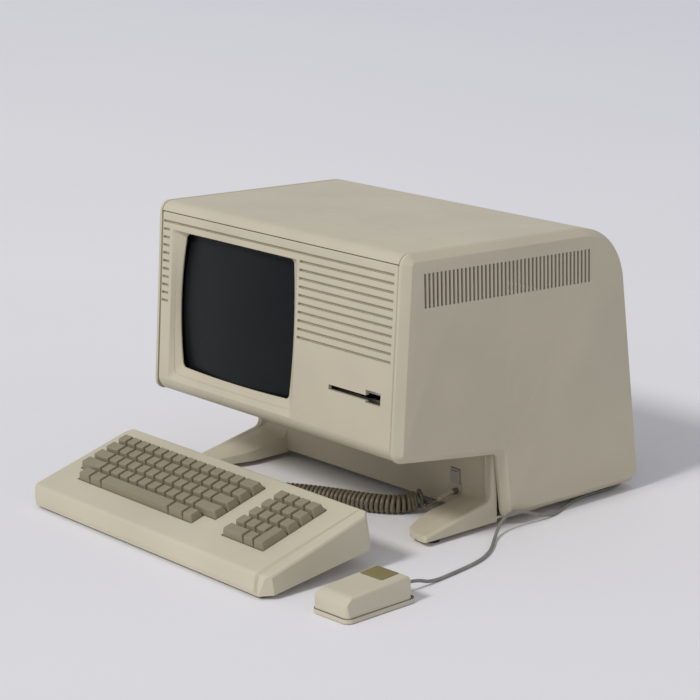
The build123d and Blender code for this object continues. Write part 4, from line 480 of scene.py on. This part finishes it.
# ---------------------------------------------------------------- the keyboard cord's plug
RELIEF_ROUTE = route((158, 153, 30.2), (158, 141.5, 28.4), (151.5, 136, 22.5))
RELIEF_CORE = 2.6 * MM
RELIEF_RIB = 1.0 * MM
RELIEF_PITCH = 2.3 * MM
RELIEF_STEP = 0.35 * MM
RELIEF_SIDES = 24
RELIEF_VALLEY = -0.2  # where the rib's wave is cut off between its crests
JACK_X, JACK_Z = 158, 30.2
PLUG_SIDES = 32
PLUG_PROFILE = (  # y and radius, in millimetres, from the pin's tip to the boot
    (171.5, 3.1),
    (161.3, 3.1),
    (161.2, 3.6),
    (160.6, 4.1),
    (158.0, 4.1),
    (157.6, 3.7),
    (156.6, 3.7),
    (156.2, 4.1),
    (154.2, 4.0),
    (153.0, 3.2),
    (152.9, 2.4),
)


def plug_boot():
    """The plug's bend relief: a sleeve wound with one round rib, which leads down to the cord."""
    line = followed(RELIEF_ROUTE, 24)
    run = stations(line)
    steps = int(run[-1] / RELIEF_STEP)
    rings = []
    for i in range(steps + 1):
        distance = run[-1] * i / steps
        centre, direction = walk(line, run, distance)
        flat, rise = around(direction)
        ring = []
        for k in range(RELIEF_SIDES):
            angle = 2 * pi * k / RELIEF_SIDES
            wave = cos(2 * pi * distance / RELIEF_PITCH - angle)
            radius = RELIEF_CORE + RELIEF_RIB * max(wave, RELIEF_VALLEY)
            ring.append(centre + radius * (cos(angle) * flat + sin(angle) * rise))
        rings.append(ring)
    return tube("plug_boot", rings)


def plug_head():
    """The plug's short grip between the jack and the boot, with a pin that goes into the jack."""
    rings = []
    for y, radius in PLUG_PROFILE:
        angles = (2 * pi * k / PLUG_SIDES for k in range(PLUG_SIDES))
        centre = desk(JACK_X, y, JACK_Z)
        rings.append([centre + Vector((cos(a), 0.0, sin(a))) * radius * MM for a in angles])
    return tube("plug_head", rings)


fit(plug_boot(), "cabinet_beige", "computer", "keyboard_plug")
fit(plug_head(), "cord_brown", "computer", "keyboard_plug")

# ---------------------------------------------------------------- the mouse's cord
MOUSE_ROUTE = route(
    (318.53, -61.9, 12),
    (317.9, -44, 11.4),
    (317, -22, 2.2),
    (310.5, 22, 2.2),
    (302, 66, 2.2),
    (284, 99, 2.2),
    (258, 128, 2.2),
    (243.5, 149, 10),
    (241.5, 165, 20.5),
    (242, 190, 17.6),
    (243, 217, 6.5),
    (241.5, 240, 2.2),
    (234, 260, 2.2),
    (221, 290, 2.2),
    (216, 320, 2.2),
    (217, 350, 2.2),
    (214, 376, 2.2),
    (200, 399, 2.2),
    (178, 405.2, 2.2),
    (158, 405, 2.2),
    (140, 405.6, 2.2),
)
PORT_ROUTE = route(
    (117.6, 428, 2.2),
    (117.5, 455, 2.2),
    (112, 481, 2.2),
    (94, 495, 2.2),
    (76, 485, 4),
    (70, 469, 22),
    (68, 455, 44),
    (68, 436, 46),
)
MOUSE_CORD_DIAMETER = 4.0 * MM
STORE_AT = (140, 428)
STORE_RINGS = ((24.4, 2.2), (20.4, 2.2), (20.4, 6.2), (24.4, 6.2), (22.4, 2.2))  # radius and height
STORE_TURNS = 4.25
STORE_TURN_POINTS = 16
STORE_CHANGE = 0.2  # the last share of a turn, over which the cord moves to the next ring


def stored_turns():
    """Turns of spare cord, clockwise from above: two side by side on the desk and two on top."""
    points = []
    for i in range(1, int(STORE_TURNS * STORE_TURN_POINTS)):
        turn = i / STORE_TURN_POINTS
        ring = min(int(turn), 3)
        blend = min(max((turn - ring - 1 + STORE_CHANGE) / STORE_CHANGE, 0.0), 1.0)
        here, then = STORE_RINGS[ring], STORE_RINGS[ring + 1]
        radius = here[0] + (then[0] - here[0]) * blend
        height = here[1] + (then[1] - here[1]) * blend
        angle = -0.5 * pi - 2 * pi * turn
        x, y = STORE_AT[0] + radius * cos(angle), STORE_AT[1] + radius * sin(angle)
        points.append(desk(x, y, height))
    return points


mouse_points = MOUSE_ROUTE + stored_turns() + PORT_ROUTE
mouse_cord = nurbs("mouse_lead", mouse_points, MOUSE_CORD_DIAMETER, 6)
fit(mouse_cord, "cord_grey", "computer", "mouse_cord", "mouse_cord_coil")

# ---------------------------------------------------------------- dressed mouldings
KEYBOARD_AT = Vector((6.0, -191.0, 3.8))  # in the computer's frame
KEYBOARD_TILT = radians(8.0)
KEYBOARD_FRAME = (
    Matrix.Translation((COMPUTER_AT + KEYBOARD_AT) * MM) @ Matrix.Rotation(KEYBOARD_TILT, 4, "X")
)
GROOVE_FROM = 209.3 * MM
GROOVE_TO = 217.3 * MM
GROOVE_SLOPE = 0.5  # the share of the groove's width that becomes a slope
NEAR = 0.05 * MM
WELD = 2e-6
FLAT_ANGLE = 0.5
BEVEL_SEGMENTS = 2
BEVEL_ANGLE = 25.0


def welded(mesh):
    """A mesh as a bmesh whose faces share their vertices."""
    shape = bmesh.new()
    shape.from_mesh(mesh)
    bmesh.ops.remove_doubles(shape, verts=shape.verts, dist=WELD)
    return shape


def slope_groove(shape):
    """Moves the left edge of the rail groove's floor to the right, so that the left wall slopes."""
    local = KEYBOARD_FRAME.inverted()
    low = set()
    for face in shape.faces:
        spots = [(local @ v.co).x for v in face.verts]
        if abs(min(spots) - GROOVE_FROM) < NEAR and abs(max(spots) - GROOVE_TO) < NEAR:
            low.update(v for v, x in zip(face.verts, spots) if abs(x - GROOVE_FROM) < NEAR)
    for vert in low:
        vert.co.x += (GROOVE_TO - GROOVE_FROM) * GROOVE_SLOPE


def dress(name, node, slot, body, edge):
    """Stands for a node with its own shape and edges rounded by a radius in millimetres."""
    shape = welded(NODES[node].data)
    bmesh.ops.dissolve_limit(
        shape, angle_limit=radians(FLAT_ANGLE), verts=shape.verts, edges=shape.edges
    )
    if node == "keyboard_top_case":
        slope_groove(shape)
    piece = mesh_piece(name, shape, MOULDED_SHARP)
    bevel = piece.modifiers.new("edge", "BEVEL")
    bevel.width = edge * MM
    bevel.segments = BEVEL_SEGMENTS
    bevel.limit_method = "ANGLE"
    bevel.angle_limit = radians(BEVEL_ANGLE)
    bevel.harden_normals = True
    fit(piece, slot, body, node)


DRESSED = (
    ("base_moulding", "base_housing", "cabinet_beige", "computer", 0.6),
    ("left_panel_moulding", "side_panel_left", "cabinet_beige", "computer", 0.5),
    ("right_panel_moulding", "side_panel_right", "cabinet_beige", "computer", 0.5),
    ("top_moulding", "top_cover", "cabinet_beige", "computer", 0.5),
    ("rear_moulding", "rear_cover", "cabinet_beige", "computer", 0.5),
    ("bezel_moulding", "front_bezel", "cabinet_beige", "computer", 0.5),
    ("keyboard_upper_moulding", "keyboard_top_case", "keyboard_beige", "keyboard", 0.5),
    ("keyboard_lower_moulding", "keyboard_bottom_case", "keyboard_beige", "keyboard", 0.5),
    ("mouse_upper_moulding", "mouse_top_shell", "mouse_beige", "mouse", 0.4),
    ("mouse_lower_moulding", "mouse_base_plate", "mouse_beige", "mouse", 0.4),
    ("mouse_button_cap", "mouse_button", "mouse_button_olive", "mouse_button", 0.4),
)
for piece_row in DRESSED:
    dress(*piece_row)

# ---------------------------------------------------------------- keycaps
DECK_FRONT = Vector((0.0, 7.8, 22.5))  # the deck's edges, from the middle of the keyboard's front
DECK_BACK = Vector((0.0, 160.0, 43.7))
DECK_ANGLE = atan2(DECK_BACK.z - DECK_FRONT.z, DECK_BACK.y - DECK_FRONT.y)
DECK_FRAME = (
    KEYBOARD_FRAME @ Matrix.Translation(DECK_FRONT * MM) @ Matrix.Rotation(DECK_ANGLE, 4, "X")
)
CAP_FOOT = -1.2 * MM  # the caps' lower edge, from the deck
STEM_BELOW = -5 * MM  # only the stems reach lower than this
WIDE_KEY = 40 * MM
DISH = 0.9 * MM
WIDE_DISH = 0.3 * MM
DISH_STEP = 2.2 * MM
SHOULDER = 0.7 * MM
FOOT_CORNER = 0.9
TOP_CORNER = 1.8
LEAST_CORNER = 0.15
WALL_STEPS = 4
DEPTH_STEPS = 6
CORNER_STEPS = 4
SHOULDER_TURNS = (25, 50, 75, 90)
TOP_SHARES = (0.2, 0.45, 0.7, 0.9)
KEY_NODES = [n for n in NODES if n.startswith("key_") and n != "key_switches"] + [
    n for n in NODES if n.startswith("keys_") or n == "keypad_keys"
]


def islands(mesh, to_deck):
    """The separate solids of a mesh, as lists of points in the deck's frame."""
    shape = welded(mesh)
    seen = set()
    found = []
    for start in shape.verts:
        if start in seen:
            continue
        seen.add(start)
        queue = [start]
        solid = []
        while queue:
            vert = queue.pop()
            solid.append(to_deck @ vert.co)
            for edge in vert.link_edges:
                other = edge.other_vert(vert)
                if other not in seen:
                    seen.add(other)
                    queue.append(other)
        found.append(solid)
    shape.free()
    return found


def reach(points):
    """The lowest and highest x of points, then the lowest and highest y."""
    return [edge(p[axis] for p in points) for axis in (0, 1) for edge in (min, max)]


def inset(outline, by):
    return [outline[0] + by, outline[1] - by, outline[2] + by, outline[3] - by]


def rounded_ring(x0, x1, y0, y1, radius, pieces_x, pieces_y):
    """Points round a rectangle with round corners, in order."""
    centres = (
        (x1 - radius, y0 + radius, -90),
        (x1 - radius, y1 - radius, 0),
        (x0 + radius, y1 - radius, 90),
        (x0 + radius, y0 + radius, 180),
    )
    spans = (pieces_y, pieces_x, pieces_y, pieces_x)
    ring = []
    for k, ((cx, cy, start), span) in enumerate(zip(centres, spans)):
        for i in range(CORNER_STEPS + 1):
            angle = radians(start + 90 * i / CORNER_STEPS)
            ring.append((cx + radius * cos(angle), cy + radius * sin(angle)))
        next_x, next_y, next_start = centres[(k + 1) % 4]
        angle = radians(next_start)
        end = (next_x + radius * cos(angle), next_y + radius * sin(angle))
        last = ring[-1]
        for i in range(1, span):
            t = i / span
            ring.append((last[0] + (end[0] - last[0]) * t, last[1] + (end[1] - last[1]) * t))
    return ring


def keycap(shape, base, top, low, high):
    """One cap: leaning walls, a soft shoulder, and a top dished across its width."""
    width = top[1] - top[0]
    middle = (top[0] + top[1]) / 2
    dish = WIDE_DISH if width > WIDE_KEY else DISH
    pieces_x = max(6, int(width / DISH_STEP))

    def sag(x):
        t = min(abs(x - middle) / (width / 2), 1.0)
        return dish * (1 - t * t)

    levels = []  # outline, corner radius in millimetres, height, and how far up the wall
    for i in range(WALL_STEPS + 1):
        t = i / WALL_STEPS * (1 - SHOULDER / (high - low))
        outline = [base[k] + (top[k] - base[k]) * t for k in range(4)]
        corner = FOOT_CORNER + (TOP_CORNER - FOOT_CORNER) * t
        levels.append((outline, corner, low + (high - low) * t, t))
    wall = levels[-1][0]
    for turn in SHOULDER_TURNS:
        outline = inset(wall, SHOULDER * (1 - cos(radians(turn))))
        height = high - SHOULDER + SHOULDER * sin(radians(turn))
        levels.append((outline, TOP_CORNER, height, 1.0))
    inner = levels[-1][0]
    for share in TOP_SHARES:
        outline = inset(inner, share * min(inner[1] - inner[0], inner[3] - inner[2]) / 2)
        levels.append((outline, max(TOP_CORNER * (1 - share), LEAST_CORNER), high, 1.0))
    rings = []
    for outline, corner, z, weight in levels:
        ring = rounded_ring(*outline, corner * MM, pieces_x, DEPTH_STEPS)
        rings.append([shape.verts.new((x, y, z - sag(x) * weight**3)) for x, y in ring])
    skin(shape, rings)


def stem(shape, part, high):
    """Four walls round some of a stem's points and a foot, open at the top, under the cap."""
    x0, x1, y0, y1 = reach(part)
    corners = ((x0, y0), (x1, y0), (x1, y1), (x0, y1))
    foot = min(p.z for p in part)
    lower, upper = ([shape.verts.new((x, y, z)) for x, y in corners] for z in (foot, high))
    for i in range(4):
        j = (i + 1) % 4
        shape.faces.new((lower[i], lower[j], upper[j], upper[i]))
    shape.faces.new(list(reversed(lower)))


def dress_keys(node):
    """Stands for a node's plain keys with dished caps of the same size.

    The stems' points are taken in a left and a right part. On the space bar these are its two
    stems. Every other key has one stem, so there each part is flat, and two sheets without
    thickness stand where the stem's sides are, hidden under the cap.
    """
    to_deck = DECK_FRAME.inverted()
    shape = bmesh.new()
    for solid in islands(NODES[node].data, to_deck):
        high = max(p.z for p in solid)
        base = reach([p for p in solid if abs(p.z - CAP_FOOT) < NEAR])
        top = reach([p for p in solid if abs(p.z - high) < NEAR])
        keycap(shape, base, top, CAP_FOOT, high)
        stems = [p for p in solid if p.z < STEM_BELOW]
        middle = (base[0] + base[1]) / 2
        for side in (-1, 1):
            stem(shape, [p for p in stems if side * (p.x - middle) > 0], CAP_FOOT)
    bmesh.ops.transform(shape, matrix=DECK_FRAME, verts=shape.verts)
    bmesh.ops.recalc_face_normals(shape, faces=shape.faces)
    name = node.replace("keys_", "caps_").replace("key_", "cap_")
    if name == node:
        name = node + "_caps"
    fit(mesh_piece(name, shape, ROUND_SHARP), "keycap_taupe", NODES[node]["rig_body"], node)


for node in KEY_NODES:
    dress_keys(node)

# ---------------------------------------------------------------- carried-over nodes
SEEN_AS = {"keyboard_jack": "cabinet_beige", "mouse_cord_relief": "foot_rubber"}
for row in frame["record"]["subparts"]:
    node = NODES[row["node"]]
    if not node.hide_render:
        finish_with(node, SEEN_AS.get(row["node"], row["material_slot"]))
        smooth(node.data, MOULDED_SHARP)

# ---------------------------------------------------------------- studio
FLOOR_RADIUS = 14.0
FLOOR_TONES = srgb(240, 239, 243), srgb(244, 243, 247)
# The far colour and its span along Y are painted shade: the floor turns darker and cooler toward
# the back.
FLOOR_FAR_PAINTED_SHADE = srgb(226, 227, 234)
FLOOR_SHADE_FADE = 0.4, 4.0  # metres along Y
SKY_LIGHT = srgb(240, 241, 246)
SKY_STRENGTH = 0.507
BACKDROP = srgb(214, 215, 220)
SUN_STRENGTH = 1.49
SUN_ANGLE = radians(11)
SUN_COLOUR = (1.0, 0.985, 0.955)
SUN_WAY = Vector((-0.03, 0.72, -0.68))


def make_floor():
    """A wide pale floor, with painted shade that makes it darker and a little cooler toward the
    back.
    """
    mesh = bpy.data.meshes.new("studio_floor")
    shape = bmesh.new()
    bmesh.ops.create_circle(shape, cap_ends=True, segments=96, radius=FLOOR_RADIUS)
    shape.to_mesh(mesh)
    shape.free()
    floor = add_object("studio_floor", mesh)
    n = Finish("studio_floor")
    pale = n.mix(n.spread(n.noise(0.6, 2.0), 0.0, 1.0), *FLOOR_TONES)
    # painted shade: darker and cooler along Y, toward the back
    tone = n.mix(n.spread(n.along("Y"), 0.0, 1.0, *FLOOR_SHADE_FADE), pale, FLOOR_FAR_PAINTED_SHADE)
    floor.data.materials.append(n.done(Base_Color=tone, Roughness=0.9, Specular_IOR_Level=0.1))


def make_sky():
    """An even light, with the backdrop's colour where it is seen, mirrored or seen through."""
    world = bpy.data.worlds.new("studio")
    bpy.context.scene.world = world
    world.use_nodes = True
    n = Nodes(world.node_tree)
    n.tree.nodes.clear()
    light = n.add("ShaderNodeBackground", {"Color": SKY_LIGHT, "Strength": SKY_STRENGTH})
    seen = n.add("ShaderNodeBackground", {"Color": BACKDROP, "Strength": 1.0})
    rays = n.add("ShaderNodeLightPath").outputs
    mirrored = n.maths("MAXIMUM", rays["Is Glossy Ray"], rays["Is Transmission Ray"])
    direct = n.maths("MAXIMUM", rays["Is Camera Ray"], mirrored)
    both = n.add("ShaderNodeMixShader", {0: direct, 1: light.outputs[0], 2: seen.outputs[0]})
    n.add("ShaderNodeOutputWorld", {0: both.outputs[0]})


def make_sun():
    """A soft light from the front, slightly from the right, as the photo's shadows show."""
    key = bpy.data.lights.new("key", "SUN")
    key.energy = SUN_STRENGTH
    key.angle = SUN_ANGLE
    key.color = SUN_COLOUR
    lamp = add_object("key", key)
    lamp.rotation_euler = SUN_WAY.to_track_quat("-Z", "Y").to_euler()


make_floor()
make_sky()
make_sun()
bpy.context.scene.view_settings.view_transform = "Standard"
